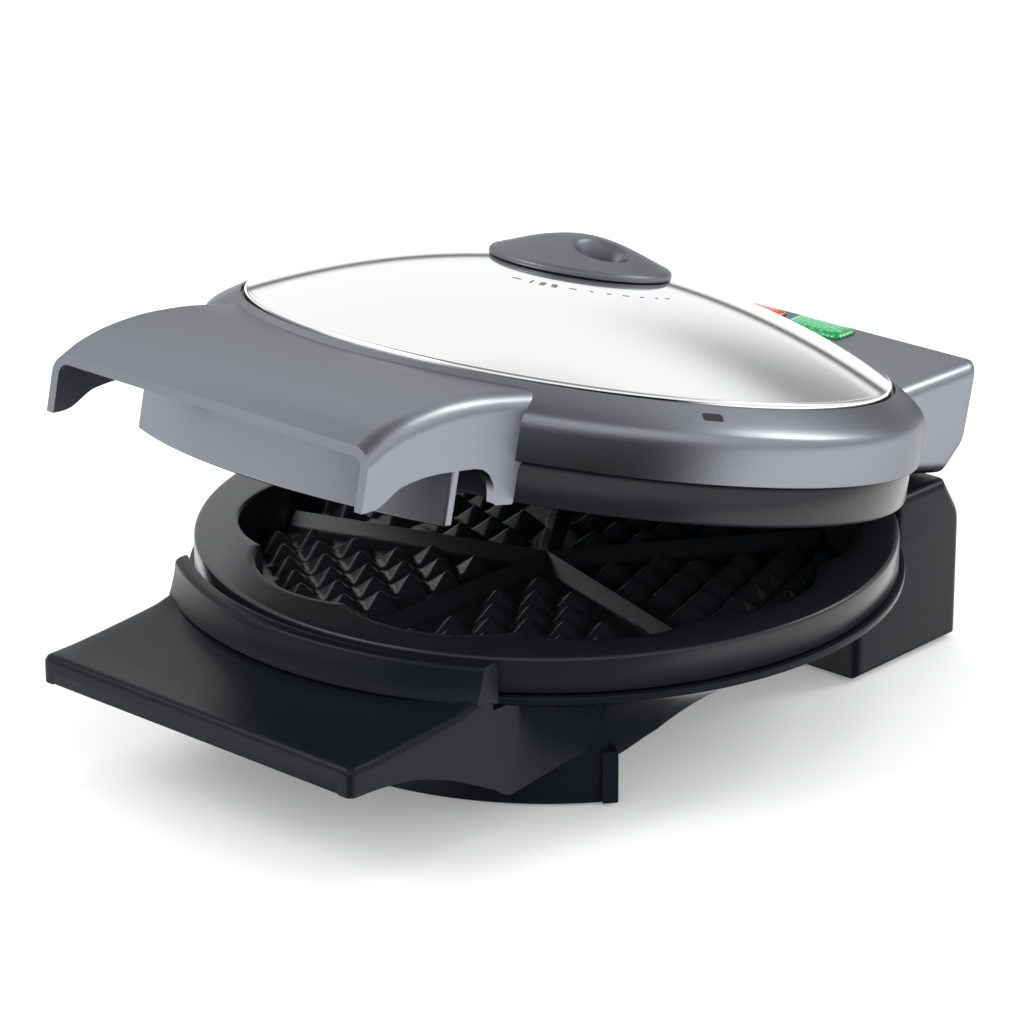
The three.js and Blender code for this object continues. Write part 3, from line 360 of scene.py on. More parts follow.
# Colour or the name of the user's colour, roughness, metallic, grain scale, cloud scale, change of tone,
# change of roughness, bump, and where they differ from 0.5 and 1 the specular level and the edges' tint
FINISHES = {
    "grey_paint": ("lid_grey", 0.33, 1.0, 1700, 14, 0.12, 0.1, 0.06, 0.5, 0.55),
    "black_plastic": ("black", 0.26, 0.0, 1100, 16, 0.12, 0.08, 0.025, 0.1),
    "polished_steel": ("steel", 0.1, 1.0, 700, 9, 0.03, 0.03, 0.004),
    "cooking_plate": ("coat", 0.27, 0.0, 1500, 30, 0.2, 0.08, 0.05, 0.34),
    "dial_grey": ("dial", 0.34, 0.6, 1300, 20, 0.06, 0.08, 0.05, 0.5, 0.4),
    "plain_steel": ((0.52, 0.52, 0.51), 0.35, 1.0, 600, 60, 0.15, 0.15, 0.05),
    "element_sheath": ((0.2, 0.17, 0.14), 0.5, 0.8, 500, 40, 0.5, 0.2, 0.08),
    "shield_steel": ((0.5, 0.5, 0.48), 0.42, 1.0, 400, 30, 0.2, 0.2, 0.08),
    "black_rubber": ((0.018, 0.018, 0.018), 0.75, 0.0, 800, 50, 0.2, 0.1, 0.12),
    "board": ((0.08, 0.14, 0.06), 0.5, 0.0, 500, 60, 0.2, 0.1, 0.05),
    "lamp_glass": ((0.75, 0.7, 0.62), 0.12, 0.0, 300, 60, 0.1, 0.04, 0.01),
    # dark_gap: painted shade of the ring's slots, and the dark joints round the lenses
    "dark_gap": ((0.006, 0.006, 0.007), 0.6, 0.0, 900, 30, 0.2, 0.1, 0.02),
    "print_grey": ((0.05, 0.05, 0.055), 0.5, 0.0, 900, 60, 0.2, 0.1, 0.01),
    "floor_white": ((0.94, 0.94, 0.94), 0.9, 0.0, 60, 2, 0.01, 0.02, 0.0),
}
LENS_COLOURS = {"orange_lens": "lamp_red", "green_lens": "lamp_green"}


def wire(tree, node, inputs):
    """Gives a node's inputs their values: a number or colour is set, another node's output is linked."""
    for key, value in inputs.items():
        if isinstance(value, bpy.types.NodeSocket):
            tree.links.new(value, node.inputs[key])
        else:
            node.inputs[key].default_value = value


def add(tree, kind, inputs, **settings):
    """A new shader node with its settings and inputs."""
    node = tree.nodes.new("ShaderNode" + kind)
    for key, value in settings.items():
        setattr(node, key, value)
    wire(tree, node, inputs)
    return node


def ranged(tree, value, low, high, start, end):
    """A smooth change from start to end while a value goes from low to high."""
    return add(tree, "MapRange", {"Value": value, "From Min": low, "From Max": high, "To Min": start,
                                  "To Max": end}, interpolation_type="SMOOTHSTEP").outputs["Result"]


def product(tree, values):
    """The product of several node outputs."""
    result = values[0]
    for value in values[1:]:
        result = add(tree, "Math", {0: result, 1: value}, operation="MULTIPLY").outputs[0]
    return result


def tree_of(name):
    """A new material with only its Principled shader and its output, and its tree for more nodes."""
    material = bpy.data.materials.new(name + "_look")
    material.use_nodes = True
    return material, material.node_tree, material.node_tree.nodes["Principled BSDF"]


def grain_group():
    """Shared effect: Noise at two scales gives a tone (slow change of colour), a height (fine grain for a
    bump) and a gloss (roughness with smudges). Made once and used by every finish but the lenses'."""
    made = bpy.data.node_groups.get("surface_grain")
    if made:
        return made
    tree = bpy.data.node_groups.new("surface_grain", "ShaderNodeTree")
    number, tint = "NodeSocketFloat", "NodeSocketColor"
    for name, kind, value in (("Grain scale", number, 900.0), ("Cloud scale", number, 18.0),
                              ("Tone change", number, 0.1), ("Roughness", number, 0.4),
                              ("Roughness change", number, 0.1), ("Base", tint, (0.5, 0.5, 0.5, 1))):
        tree.interface.new_socket(name=name, in_out="INPUT", socket_type=kind).default_value = value
    for name, kind in (("Color", tint), ("Roughness", number), ("Height", number)):
        tree.interface.new_socket(name=name, in_out="OUTPUT", socket_type=kind)
    given = tree.nodes.new("NodeGroupInput").outputs
    where = add(tree, "TexCoord", {}).outputs["Object"]
    fine = add(tree, "TexNoise", {"Vector": where, "Scale": given["Grain scale"], "Detail": 3.0})
    cloud = add(tree, "TexNoise", {"Vector": where, "Scale": given["Cloud scale"], "Detail": 4.0})
    centred = add(tree, "Math", {0: cloud.outputs["Fac"], 1: 0.5}, operation="SUBTRACT").outputs[0]
    tone = add(tree, "Math", {0: centred, 1: given["Tone change"], 2: 1.0},
               operation="MULTIPLY_ADD").outputs[0]
    scaled = add(tree, "VectorMath", {0: given["Base"], "Scale": tone}, operation="SCALE").outputs[0]
    gloss = add(tree, "Math", {0: centred, 1: given["Roughness change"], 2: given["Roughness"]},
                operation="MULTIPLY_ADD").outputs[0]
    wire(tree, tree.nodes.new("NodeGroupOutput"),
         {"Color": scaled, "Roughness": gloss, "Height": fine.outputs["Fac"]})
    return tree


def grained(name, colour, roughness, metallic, grain, cloud, tone, change, bump, specular=0.5, edge=1.0):
    """A finish made of the shared grain: its colour, roughness and bump all change over the surface."""
    material, tree, shader = tree_of(name)
    group = add(tree, "Group", {"Grain scale": grain, "Cloud scale": cloud, "Tone change": tone,
                                "Roughness": roughness, "Roughness change": change, "Base": (*colour, 1)},
                node_tree=grain_group()).outputs
    height = add(tree, "Bump", {"Strength": bump, "Distance": 0.0005, "Height": group["Height"]})
    wire(tree, shader, {"Base Color": group["Color"], "Roughness": group["Roughness"],
                        "Normal": height.outputs["Normal"], "Metallic": metallic,
                        "Specular IOR Level": specular, "Specular Tint": (edge, edge, edge, 1)})
    return material


def with_painted_scoop_shade(name, colour, *looks):
    """The dial's finish: the shared grain, and painted shade down in each finger scoop, by the distance of
    the Object coordinate from the scoop's lowest point: 0.22 at 3 mm, rising smoothly to 1 at 9.5 mm."""
    material = grained(name, colour, *looks)
    tree = material.node_tree
    where = add(tree, "TexCoord", {}).outputs["Object"]
    scoop_shade_masks = []
    for out in (-SCOOP_OUT, SCOOP_OUT):
        low = on_lid([out * math.cos(SCOOP_TURN), out * math.sin(SCOOP_TURN), DIAL_LOW + SCOOP_LOW])
        away = add(tree, "VectorMath", {0: where, 1: low.tolist()}, operation="DISTANCE")
        scoop_shade_masks.append(ranged(tree, away.outputs["Value"], 0.003, 0.0095, 0.22, 1.0))
    shader = tree.nodes["Principled BSDF"]
    # Painted shade: the dial's colour is darkened down in each finger scoop
    painted_shade = add(tree, "VectorMath", {0: shader.inputs["Base Color"].links[0].from_socket,
                                      "Scale": product(tree, scoop_shade_masks)}, operation="SCALE")
    wire(tree, shader, {"Base Color": painted_shade.outputs[0]})
    return material


def honeycomb(name, colour):
    """A lens moulded with small cells: Voronoi edges darken the colour and raise the bump."""
    material, tree, shader = tree_of(name)
    where = add(tree, "TexCoord", {}).outputs["Object"]
    edges = add(tree, "TexVoronoi", {"Vector": where, "Scale": 560.0, "Randomness": 0.35},
                feature="DISTANCE_TO_EDGE").outputs["Distance"]
    ramp = add(tree, "ValToRGB", {"Fac": edges})
    for stop, place, share in zip(ramp.color_ramp.elements, (0.0, 0.3), (0.3, 1.0)):
        stop.position = place
        stop.color = (*[share * c for c in colour], 1)
    bump = add(tree, "Bump", {"Strength": 0.6, "Distance": 0.0004, "Height": edges})
    wire(tree, shader, {"Base Color": ramp.outputs["Color"], "Emission Color": ramp.outputs["Color"],
                        "Emission Strength": 0.3, "Normal": bump.outputs["Normal"], "Roughness": 0.16,
                        "Coat Weight": 0.25, "Coat Roughness": 0.05})
    return material


def finish(name):
    """One finish by name, made at its first use; the CAD's own flat colours keep the bare name."""
    made = bpy.data.materials.get(name + "_look")
    if made:
        return made
    colours = bpy.context.scene.waffle_colours
    if name in LENS_COLOURS:
        return honeycomb(name, getattr(colours, LENS_COLOURS[name]))
    colour, *looks = FINISHES[name]
    if isinstance(colour, str):
        colour = getattr(colours, colour)
    # The dial's finish has painted shade in its finger scoops
    return (with_painted_scoop_shade if name == "dial_grey" else grained)(name, colour, *looks)


# The lid's pieces

def handle_lines(count):
    """The handle's top line and its skirts' lower line, station by station, in (y, z) of the closed lid.

    The top rises from the front edge and levels out. The skirt's edge leaves the front tip, arches up, comes
    down to the leg's foot and goes up the leg's back."""
    top_shares = [(0, 0), (0.1, 0.33), (0.24, 0.62), (0.45, 0.87), (0.66, 0.98), (0.85, 1), (1, 1)]
    arch_shares = [(0, 0), (0.02, 0.012), (0.1, 0.1), (0.27, 0.66), (0.5, 0.93), (0.68, 1)]
    arch = smooth_run(arch_shares, (HANDLE_FRONT, 54.4), (-96, 65), count)
    leg = np.array([[-108, 65.3], [-104.5, 64.9], [-101.6, 63.4], [-99.4, 60.9], [-98.2, 57.6], [-97.8, 55.0],
                    [-97.2, 54.45], [-90.3, 54.45], [-89.7, 54.9], [-89.5, 64.6], [-88.6, 66.2], [-85, 72],
                    [-81, 79], [-78.3, 84.2]])
    low = np.concatenate([arch, leg])
    fine = smooth_run(top_shares, (HANDLE_FRONT, 72), (HANDLE_BACK, HANDLE_HIGH), 400)
    top_y = np.concatenate([low[:-1, 0], [HANDLE_BACK]])
    top = np.stack([top_y, np.interp(top_y, fine[:, 0], fine[:, 1])], -1)
    return top, low


def lid_ring():
    """The lid's ring: an outer wall, a rounded shoulder, a slope up to the cover's seat, an inner wall."""
    profile = np.array([(RING_R, 66.9), (RING_R, 79.9), SHOULDER, CREST, (100.3, 86), (94, 86),
                        (94, 83.4), (99.1, 83.4), (108.4, 78.2), (108.4, 66.9)], float)
    reach = np.array([0.5, 3.4, 3.4, 0.7, 0.4, 0.3, 0.3, 0.5, 1, 0.3])
    return turned(rounded(profile, reach, 6), bpy.context.scene.waffle_sizes.around)


def lid_handle():
    """The folded sheet of the lid's handle, with its two arched side skirts."""
    s = bpy.context.scene.waffle_sizes
    top, low = handle_lines(40)
    corner = np.minimum(s.handle_corner, (top[:, 1] - low[:, 1]) * 0.8)
    return folded(top, low, HANDLE_HALF, corner, s.sheet, 8)


def lid_front_wall():
    """The curved wall below the handle: an arc round the lid's axis whose top follows the handle's sheet
    and its folds."""
    outer, inner, foot, side_gap, under = 131.0, 128.2, 48.6, 1.2, 1.6
    t = np.linspace(-1, 1, 61)
    top, _ = handle_lines(40)
    corner = bpy.context.scene.waffle_sizes.handle_corner

    def station(r):
        """The wall's angles at a radius, and the height of its top there."""
        a = -np.pi / 2 + t * math.asin((HANDLE_HALF - side_gap) / r)
        into = np.maximum(np.abs(r * np.cos(a)) - (HANDLE_HALF - corner), 0)
        fold = corner - np.sqrt(corner ** 2 - into ** 2)
        return a, np.interp(r * np.sin(a), top[:, 0], top[:, 1]) - under - fold

    (a_out, z_out), (a_in, z_in) = station(outer), station(inner)
    low = np.full_like(t, foot)
    r = np.broadcast_to([outer, outer, inner, inner], (len(t), 4))
    z = np.stack([low, z_out, z_in, low], -1)
    return swept(np.stack([r, z], -1), np.stack([a_out, a_out, a_in, a_in], -1))


def lamp_top(y):
    """Height of the lamp housing's sloping top at a place behind the lid's middle."""
    return LAMP_TOP - (LAMP_BACK - y) * math.tan(LAMP_SLOPE)


def outlines_of(*corners):
    """Closed (y, z) outlines, one for each station: every corner's y and z are a number or one for each."""
    parts = np.broadcast_arrays(*[part for corner in corners for part in corner])
    return np.stack(parts, -1).reshape(-1, len(corners), 2)


def lamp_housing():
    """The block at the lid's back: its side outline drawn in at both ends, so that every edge is rounded.

    Its front follows circles: above, the cover's seat; below, the ring's wall."""
    end, seat_r, across = 4.6, 101.0, LAMP_HALF - 4.8
    x, drawn = rounded_stations(LAMP_HALF, end, 8, np.linspace(-across, across, 41))
    front = np.clip(np.sqrt(BEHIND_R ** 2 - x ** 2), 84, 107.6)
    seat = np.sqrt(seat_r ** 2 - x ** 2)
    outline = outlines_of((front, 57.2), (108.3, 57.0), (117.0, 67.5), (LAMP_BACK, LAMP_TOP),
                          (seat, lamp_top(seat)), (seat, 74.0), (front, 70.0))
    reach = np.array([0.6, 1.5, 2.5, 3.6, 0.7, 0.5, 0.5])
    return pillow(rounded(inset(outline, drawn), reach, 6), x)


def dome_at(r):
    """Height of the steel cover over the closed lid: a curve that falls faster towards its rim."""
    return DOME_LOW + DOME_RISE * (1 - (r / DOME_R) ** DOME_POWER)


def steel_cover():
    """The polished cover: the dome's curve from the dial's hole out, a rolled rim, and its underside."""
    hole, roll, skin, foot = 5.6, 1.15, 1.0, 86.4
    r = hole + (DOME_R - roll - hole) * np.sin(np.linspace(0, 1, 56) * np.pi / 2)
    a = np.linspace(0.12, np.pi / 2, 7)
    rim = np.stack([r[-1] + roll * np.sin(a), dome_at(r[-1]) - roll * (1 - np.cos(a))], -1)
    inner = np.stack([np.minimum(r[::-1], DOME_R - 2.2), dome_at(r[::-1]) - skin], -1)
    edge = [(DOME_R, foot), (DOME_R - skin, foot), (DOME_R - skin, foot + 1.2)]
    profile = np.concatenate([np.stack([r, dome_at(r)], -1), rim, edge, inner])
    return turned(profile, bpy.context.scene.waffle_sizes.around)


def dial_height(x, y):
    """The dial's top: a crowned disc with two finger scoops across its grip, smooth everywhere.

    Crown: low edge, then a rise that follows a cosine. Each scoop is an egg-shaped hollow whose outer side
    climbs to a crest near the dial's edge."""
    edge, rise, half_u, half_v, depth = 1.6, 7.4, 8.4, 9.6, 6.6
    r = np.hypot(x, y) / DIAL_R
    crown = edge + rise * np.cos(np.clip(r, 0, 1) * np.pi / 2) ** 1.1
    u, v = turn_plan(x, y, SCOOP_TURN)
    hollow = 0
    for side in (-1, 1):
        d = np.hypot((side * u - SCOOP_OUT) / half_u, v / half_v)
        hollow = hollow + depth * (1 - ease((d - 0.42) / 0.58))
    return DIAL_LOW + crown - hollow * ease((1 - r) / 0.16)


def turn_plan(x, y, angle):
    """Plan coordinates along and across a direction."""
    return (x * math.cos(angle) + y * math.sin(angle), y * math.cos(angle) - x * math.sin(angle))


def dial_knob():
    """The dial: rings of the top's height out to a small rounded edge, then the wall and the underside."""
    steps = 144
    a = np.linspace(0, 2 * np.pi, steps, endpoint=False)
    r = np.concatenate([[0.0], np.linspace(0.8, DIAL_R - 0.8, 60)])[:, None]
    top = polar(r, a, dial_height(r * np.cos(a), r * np.sin(a)))
    rim = np.array([(DIAL_R - 0.25, 1.3), (DIAL_R, 0.9), (DIAL_R, -0.1), (DIAL_R - 0.3, -0.35), (20, 0.5),
                    (10, 1.15), (0, 1.35)])
    grid = np.concatenate([top, polar(rim[:, :1], a, DIAL_LOW + rim[:, 1:])])
    return grid, cells(len(grid), steps, False, True).tolist()


def rounded_rectangle(half_x, half_y, corner, steps=8):
    """Closed plan outline of a rectangle with round corners."""
    a = (np.linspace(0, np.pi / 2, steps)[None, :] + np.arange(4)[:, None] * np.pi / 2).ravel()
    sx = np.repeat([1, -1, -1, 1], steps) * (half_x - corner)
    sy = np.repeat([1, 1, -1, -1], steps) * (half_y - corner)
    return np.stack([sx + corner * np.cos(a), sy + corner * np.sin(a)], -1)


def on_lamp_top(plan, height, x):
    """Lays plan points on the lamp housing's sloping top, around its lens line."""
    c, s = math.cos(LAMP_SLOPE), math.sin(LAMP_SLOPE)
    return np.stack([plan[..., 0] + x, LENS_Y + plan[..., 1] * c - height * s,
                     lamp_top(LENS_Y) + plan[..., 1] * s + height * c], -1)


def lens(side, gap, corner, levels):
    """A lens, or its seat with a gap round it: plan outlines drawn in as their height changes, closed above
    and below at the middle."""
    half_x, half_y = LENS_HALF_X + gap, LENS_HALF_Y + gap
    middle = rounded_rectangle(0.01, 0.01, 0.005)
    rings = [(rounded_rectangle(half_x - drawn, half_y - drawn, max(corner - drawn, 0.4)), height)
             for drawn, height in levels]
    rings = [(middle, levels[0][1]), *rings, (middle, levels[-1][1])]
    return capped(np.stack([on_lamp_top(plan, height, side * LENS_OUT) for plan, height in rings]))


def strokes_on_dome(strokes, width):
    """Printed strokes on the steel cover: each is a plan rectangle laid a hair above the dome, a closed
    sliver."""
    above, below = 0.06, 0.2
    s = np.asarray(strokes, float)
    way = s[:, 1] - s[:, 0]
    along = way / np.maximum(np.linalg.norm(way, axis=1, keepdims=True), 1e-6)
    out = np.stack([-along[:, 1], along[:, 0]], -1) * width / 2
    grow = along * width * 0.4
    start, end = s[:, 0] - grow, s[:, 1] + grow
    plan = np.stack([start - out, end - out, end + out, start + out], 1)
    z = dome_at(np.hypot(plan[..., 0], plan[..., 1]))
    levels = [np.concatenate([plan, height[..., None]], -1) for height in (z - below, z + above)]
    return [capped(grid) for grid in np.stack(levels, 1)]


def scale_strokes():
    """The dial's scale in front of it: three small figures, then dashes and dots round an arc."""
    figure_r, dash_r, wide, high = 41.2, 40.0, 1.2, 1.1
    top, middle, bottom = (((0, level), (1, level)) for level in (2, 1, 0))
    one = [((0.5, 0), (0.5, 2))]
    two = [top, ((1, 2), (1, 1)), ((1, 1), (0, 1)), ((0, 1), (0, 0)), bottom]
    three = [top, middle, bottom, ((1, 0), (1, 2))]

    def at(radius, degrees, u=0.0, v=0.0):
        """A plan point at a radius and direction, moved by u along the arc and by v towards the middle."""
        a = math.radians(degrees)
        out, side = np.array([math.cos(a), math.sin(a)]), np.array([-math.sin(a), math.cos(a)])
        return radius * out + u * side - v * out

    strokes = [[at(figure_r, degrees, (u - 0.5) * wide, v * high) for u, v in stroke]
               for figure, degrees in ((one, -70), (two, -65), (three, -60)) for stroke in figure]
    for degrees, half in ((-77, 1.3), (-52, 0.9), (-44, 0.3), (-36.5, 0.45), (-29, 0.8), (-21.5, 0.35),
                          (-14, 0.3), (-8, 0.7)):
        strokes.append([at(dash_r, degrees, -half), at(dash_r, degrees, half)])
    return strokes


def shoulder_slots(angles):
    """The small slots in the ring's slope as painted shade: dark plan capsules laid a hair above it."""
    slope_r, slope_z, half_x, half_y = 104.6, 85.25, 1.5, 3.2
    lean = math.atan2(CREST[1] - SHOULDER[1], SHOULDER[0] - CREST[0])
    plan = rounded_rectangle(half_x, half_y, 1.0, 6)
    shapes = []
    for a in np.radians(angles):
        levels = []
        for drawn, height in ((1.1, 0.05), (0.0, 0.05), (0.0, -0.6), (1.1, -0.6)):
            p = plan * (1 - drawn / half_x)
            r = slope_r + p[:, 0] * math.cos(lean) + height * math.sin(lean)
            z = slope_z - p[:, 0] * math.sin(lean) + height * math.cos(lean)
            x, y = turn_plan(r, p[:, 1], -a)
            levels.append([x, y, z])
        shapes.append(capped(np.moveaxis(np.array(levels), 1, -1)))
    return shapes


# The cooking plates

def scallop_radius(angle):
    """Radius of the heart field's edge: ten round lobes, two for each heart."""
    lobe = np.pi / HEARTS
    off = (angle + np.pi / 2) % lobe - lobe / 2
    return LOBE_OUT * np.cos(off) + np.sqrt(LOBE_R ** 2 - (LOBE_OUT * np.sin(off)) ** 2)


def relief_height(x, y):
    """Height over the pockets' floor: V-shaped ridges between the hearts and rows of square pyramids.

    A pyramid's height falls with the larger of its two plan distances, softened at its tip and foot."""
    s = bpy.context.scene.waffle_sizes
    hub_r, tip_soft, foot_soft = 5.0, 0.07, 0.02
    r, angle = np.hypot(x, y), np.arctan2(y, x)
    sector, lobe = 2 * np.pi / HEARTS, np.pi / HEARTS / 2
    local = (angle + np.pi / 2) % sector - sector / 2
    u, v = r * np.cos(local), r * np.sin(local)
    side = r * np.sin(sector / 2 - np.abs(local))
    ridge = RIDGE_HIGH * np.clip(1 - side / RIDGE_HALF, 0, 1)
    hub = RIDGE_HIGH * np.clip(1 - r / hub_r, 0, 1)
    pitch, half = s.pyramid_pitch, s.pyramid_pitch * 0.475
    cu, cv = np.round(u / pitch) * pitch, np.round(v / pitch) * pitch
    cr, ca = np.hypot(cu, cv), np.abs(np.arctan2(cv, cu))
    margin_side = cr * np.sin(sector / 2 - ca) - RIDGE_HALF
    margin_edge = LOBE_R - np.hypot(cu - LOBE_OUT * math.cos(lobe), np.abs(cv) - LOBE_OUT * math.sin(lobe))
    there = (np.minimum(margin_side, margin_edge) > half) & (cu > 0)
    p = (np.abs(u - cu) ** 8 + np.abs(v - cv) ** 8) ** 0.125 / half
    fall = 1 - np.sqrt(p * p + tip_soft ** 2) + 0.03
    pyramid = s.pyramid_height * 0.5 * (fall + np.sqrt(fall * fall + foot_soft ** 2)) * there
    return np.maximum(np.maximum(ridge, hub), pyramid)


def plate_grid(radius, rim):
    """A cooking plate face up at height zero: rings that follow the scalloped edge out, up its wall, over a
    rounded lip, across the flat face, round the outer edge, and back underneath."""
    s = bpy.context.scene.waffle_sizes
    count, deep = s.plate_around, s.pocket_depth
    a = -np.pi / 2 + np.arange(count) * 2 * np.pi / count
    edge = scallop_radius(a)
    wall_in, lip_out, edge_round = 2.2, 1.1, 1.3
    r = np.concatenate([[0.0], np.linspace(0.006, 1, 106)])[:, None] * (edge - wall_in)
    pocket = polar(r, a, relief_height(r * np.cos(a), r * np.sin(a)) - deep)
    wall = np.array([(1.5, 0.12), (0.95, 0.5), (0.6, 1.2), (0.4, 3.0), (0.1, deep - 1.3),
                     (-0.1, deep - 0.6), (-0.5, deep - 0.18), (-lip_out, deep)])
    out = np.linspace(0.15, 1, 5)[:, None]
    face_r = (edge + lip_out) * (1 - out) + (radius - edge_round) * out
    side = np.array([(-0.9, -0.07), (-0.35, -0.35), (-0.07, -0.9), (0, -1.4), (0, -rim + 0.4), (-0.4, -rim),
                     (PLATE_BACK_R - radius, -rim), (PLATE_BACK_R - radius, PLATE_BACK),
                     (-radius, PLATE_BACK)])
    grid = np.concatenate([pocket, polar(edge - wall[:, :1], a, wall[:, 1:] - deep), polar(face_r, a, 0.0),
                           polar(radius + side[:, :1], a, side[:, 1:])])
    return grid, cells(len(grid), count, False, True).tolist()


def raised_to(grid, height, face_down=False):
    """Lifts a face-up plate to its height, or turns it face down there."""
    flip = -1 if face_down else 1
    return grid * np.array([1, 1, flip]) + np.array([0, 0, height])


# The base's pieces

def pan_height(r):
    """Height of the pan's underside at a radius, with its corners already rounded."""
    return np.interp(r, [48, 60, 98, 106, RIM_R], [22.5, 22.5, 34.9, 38.4, 40.5])


def base_pan():
    """The pan under the lower plate: a shallow cone, a stepped shoulder and a thin rim, hollow inside."""
    profile = np.array([(48, 22.5), (60, 22.5), (98, 34.7), (106, 38.3), (RIM_R, 40.6), (RIM_R, RIM_TOP),
                        (107.2, RIM_TOP), (103.6, 40.4), (97.4, 37.1), (59.4, 24.9), (48, 24.9)], float)
    reach = np.array([0.3, 6, 3, 1.2, 0.5, 0.6, 0.3, 1, 2, 2, 0.3])
    return turned(rounded(profile, reach, 5), bpy.context.scene.waffle_sizes.around)


def base_collar():
    """The collar behind the tongue: a rounded upright lip on an arc, cut off square at both sides."""
    profile = np.array([(110.6, 41), (118.4, 43.0), (117.2, 45.8), (115.9, 50.5), (115.6, 54), (111.3, 54),
                        (110.6, 50)], float)
    outline = rounded(profile, np.array([0.3, 0.6, 2.0, 2.5, 1.9, 0.9, 0.8]), 6)
    t = np.linspace(-1, 1, 61)[:, None]
    angles = -np.pi / 2 + t * np.arcsin(TONGUE_HALF / outline[:, 0][None, :])
    return swept(np.broadcast_to(outline, (61, *outline.shape)), angles)


def tongue_top(y):
    """Height of the tongue's top at a place in front of the plates' axis: level, then a hollow rise."""
    shares = [(0, 0), (0.12, 0.02), (0.27, 0.14), (0.45, 0.36), (0.62, 0.62), (0.74, 1), (1, 1)]
    line = smooth_run(shares, (TONGUE_FRONT, 40.3), (TONGUE_BACK, 44.5), 200)
    return np.interp(y, line[:, 0], line[:, 1])


def tongue_low(y):
    """Height of the tongue's lower side edge: it arches down from the front lip to the foot."""
    shares = [(0, 0), (0.14, 0.02), (0.36, 0.11), (0.6, 0.36), (0.79, 0.65), (1, 1)]
    line = smooth_run(shares, (TONGUE_FRONT, TONGUE_LOW), (-86, WEB_FOOT), 200)
    return np.interp(y, line[:, 0], line[:, 1])


def base_tongue():
    """The tongue, a tray open below: up one side, round the fold, across and down, then back inside.

    Its stations run from the rounded front edge back to an arc under the collar."""
    front_r, fold, skin, rear_r = 2.2, 2.6, 2.6, 112.5
    a = np.linspace(0, np.pi / 2, 7)
    near = front_r * (1 - np.cos(a))[:, None]
    drop = np.concatenate([front_r * (1 - np.sin(a)), np.zeros(40)])[:, None]
    far = np.linspace(0, 1, 41)[1:, None]
    arc = np.linspace(0, np.pi / 2, 6)
    legs = np.linspace(0, 1, 6)[:-1]
    n = len(legs)

    def layer(thin):
        """One skin of the tray: the outer one, or the inner one that is drawn in by the thickness."""
        half = TONGUE_HALF - drop - thin
        corner = max(fold - thin, 0.5)
        side_x = np.concatenate([half + 0 * legs, half - corner * (1 - np.cos(arc))], 1)
        top_x = (half - corner) * np.linspace(1, -1, 30)[1:-1]
        x = np.concatenate([side_x, top_x, -side_x[:, ::-1]], 1)
        rear = -np.sqrt(rear_r ** 2 - np.minimum(np.abs(x), TONGUE_HALF) ** 2)
        y = np.concatenate([TONGUE_FRONT + near + 0 * x[:7],
                            TONGUE_FRONT + front_r + far * (rear[7:] - TONGUE_FRONT - front_r)])
        high, low = tongue_top(y) - drop - thin, tongue_low(y)
        fall = corner * (1 - np.sin(arc))
        z = high - np.concatenate([np.zeros(n), fall, np.zeros(top_x.shape[1]), fall[::-1], np.zeros(n)])
        z[:, :n] = low[:, :n] + (high[:, :n] - corner - low[:, :n]) * legs
        z[:, -n:] = low[:, -n:] + (high[:, -n:] - corner - low[:, -n:]) * legs[::-1]
        return np.stack([x, y, z], -1)

    return folded_sheet(np.concatenate([layer(0), layer(skin)[:, ::-1]], 1))


def tongue_lip():
    """The tongue's front face: a bar behind the front edge, its lower edge rounded."""
    high, thick = 38.4, 2.6
    x, drawn = rounded_stations(TONGUE_HALF - 0.04, 2.2, 6)
    front = TONGUE_FRONT + 0.03 + drawn
    back = front + thick
    outline = outlines_of((front, TONGUE_LOW), (front, high), (back, high), (back, TONGUE_LOW))
    return pillow(rounded(outline, np.array([0.9, 0.1, 0.1, 0.4]), 4), x)


def web_low(y):
    """Height of a web's lower edge: it climbs over the foot's recess, and up the pan behind the foot."""
    front = [(WEB_FRONT, float(tongue_low(WEB_FRONT))), (-86, WEB_FOOT), (-79, 12.0), (-72, 13.7),
             (-64.5, 16.0), (-57.5, 17.9)]
    rear = [(-56.5, 12.4), (-50, 14.2), (-43, 17.3), (-36, 20.2), (-28, 23.4), (-18, 27.5)]
    line = np.concatenate([smooth_run(points, (0, 0), (1, 1), 80) for points in (front, rear)])
    return np.interp(y, line[:, 0], line[:, 1])


def base_web(side):
    """A side web: it carries the tongue's side back and outwards, flares up into the pan like a bowl, and
    ends behind the foot in a hollow curve that climbs the pan."""
    rows, columns, skin, flare, flare_long, reach_r, top_z = 84, 18, 3.2, 13.0, 56.4, 104.0, 39.5
    t = np.linspace(0, 1, rows)[:, None]
    v = np.linspace(0, 1, columns)
    y = WEB_FRONT + t * WEB_LONG
    out = np.clip(t * WEB_LONG / flare_long, 0, 1)
    x = TONGUE_HALF + flare * ease(out / 0.9) * out
    foot, turn = np.hypot(x, y), np.arctan2(y, x)
    reach = np.maximum(reach_r, foot + 0.05)
    top = np.minimum(pan_height(reach) + 0.6, top_z)
    share = np.clip((web_low(y) - WEB_FOOT) / (top - WEB_FOOT), 0, 1)
    w = share + (1 - share) * v
    r = foot + (reach - foot) * w ** 2.4
    z = WEB_FOOT + (top - WEB_FOOT) * w
    grid = np.concatenate([polar(r, turn, z), polar(r - skin, turn, z)[:, ::-1]], 1)
    return folded_sheet(grid * np.array([side, 1, 1]))


def foot_post(side):
    """The upright strip that ends a web: it stands proud of the foot's wall and closes its recess."""
    profile = np.array([(93.6, 1.2), (93.4, 17.6), (88.2, 17.6), (88.2, BASE_LOW)], float)
    outline = rounded(profile, np.array([1.2, 0.2, 0.2, 0.3]), 5)
    near, wide = 51.7, 2.9
    angles = np.radians(-90 + side * (near + wide * np.linspace(0, 1, 9)[:, None]))
    return swept(np.broadcast_to(outline, (9, *outline.shape)), angles)


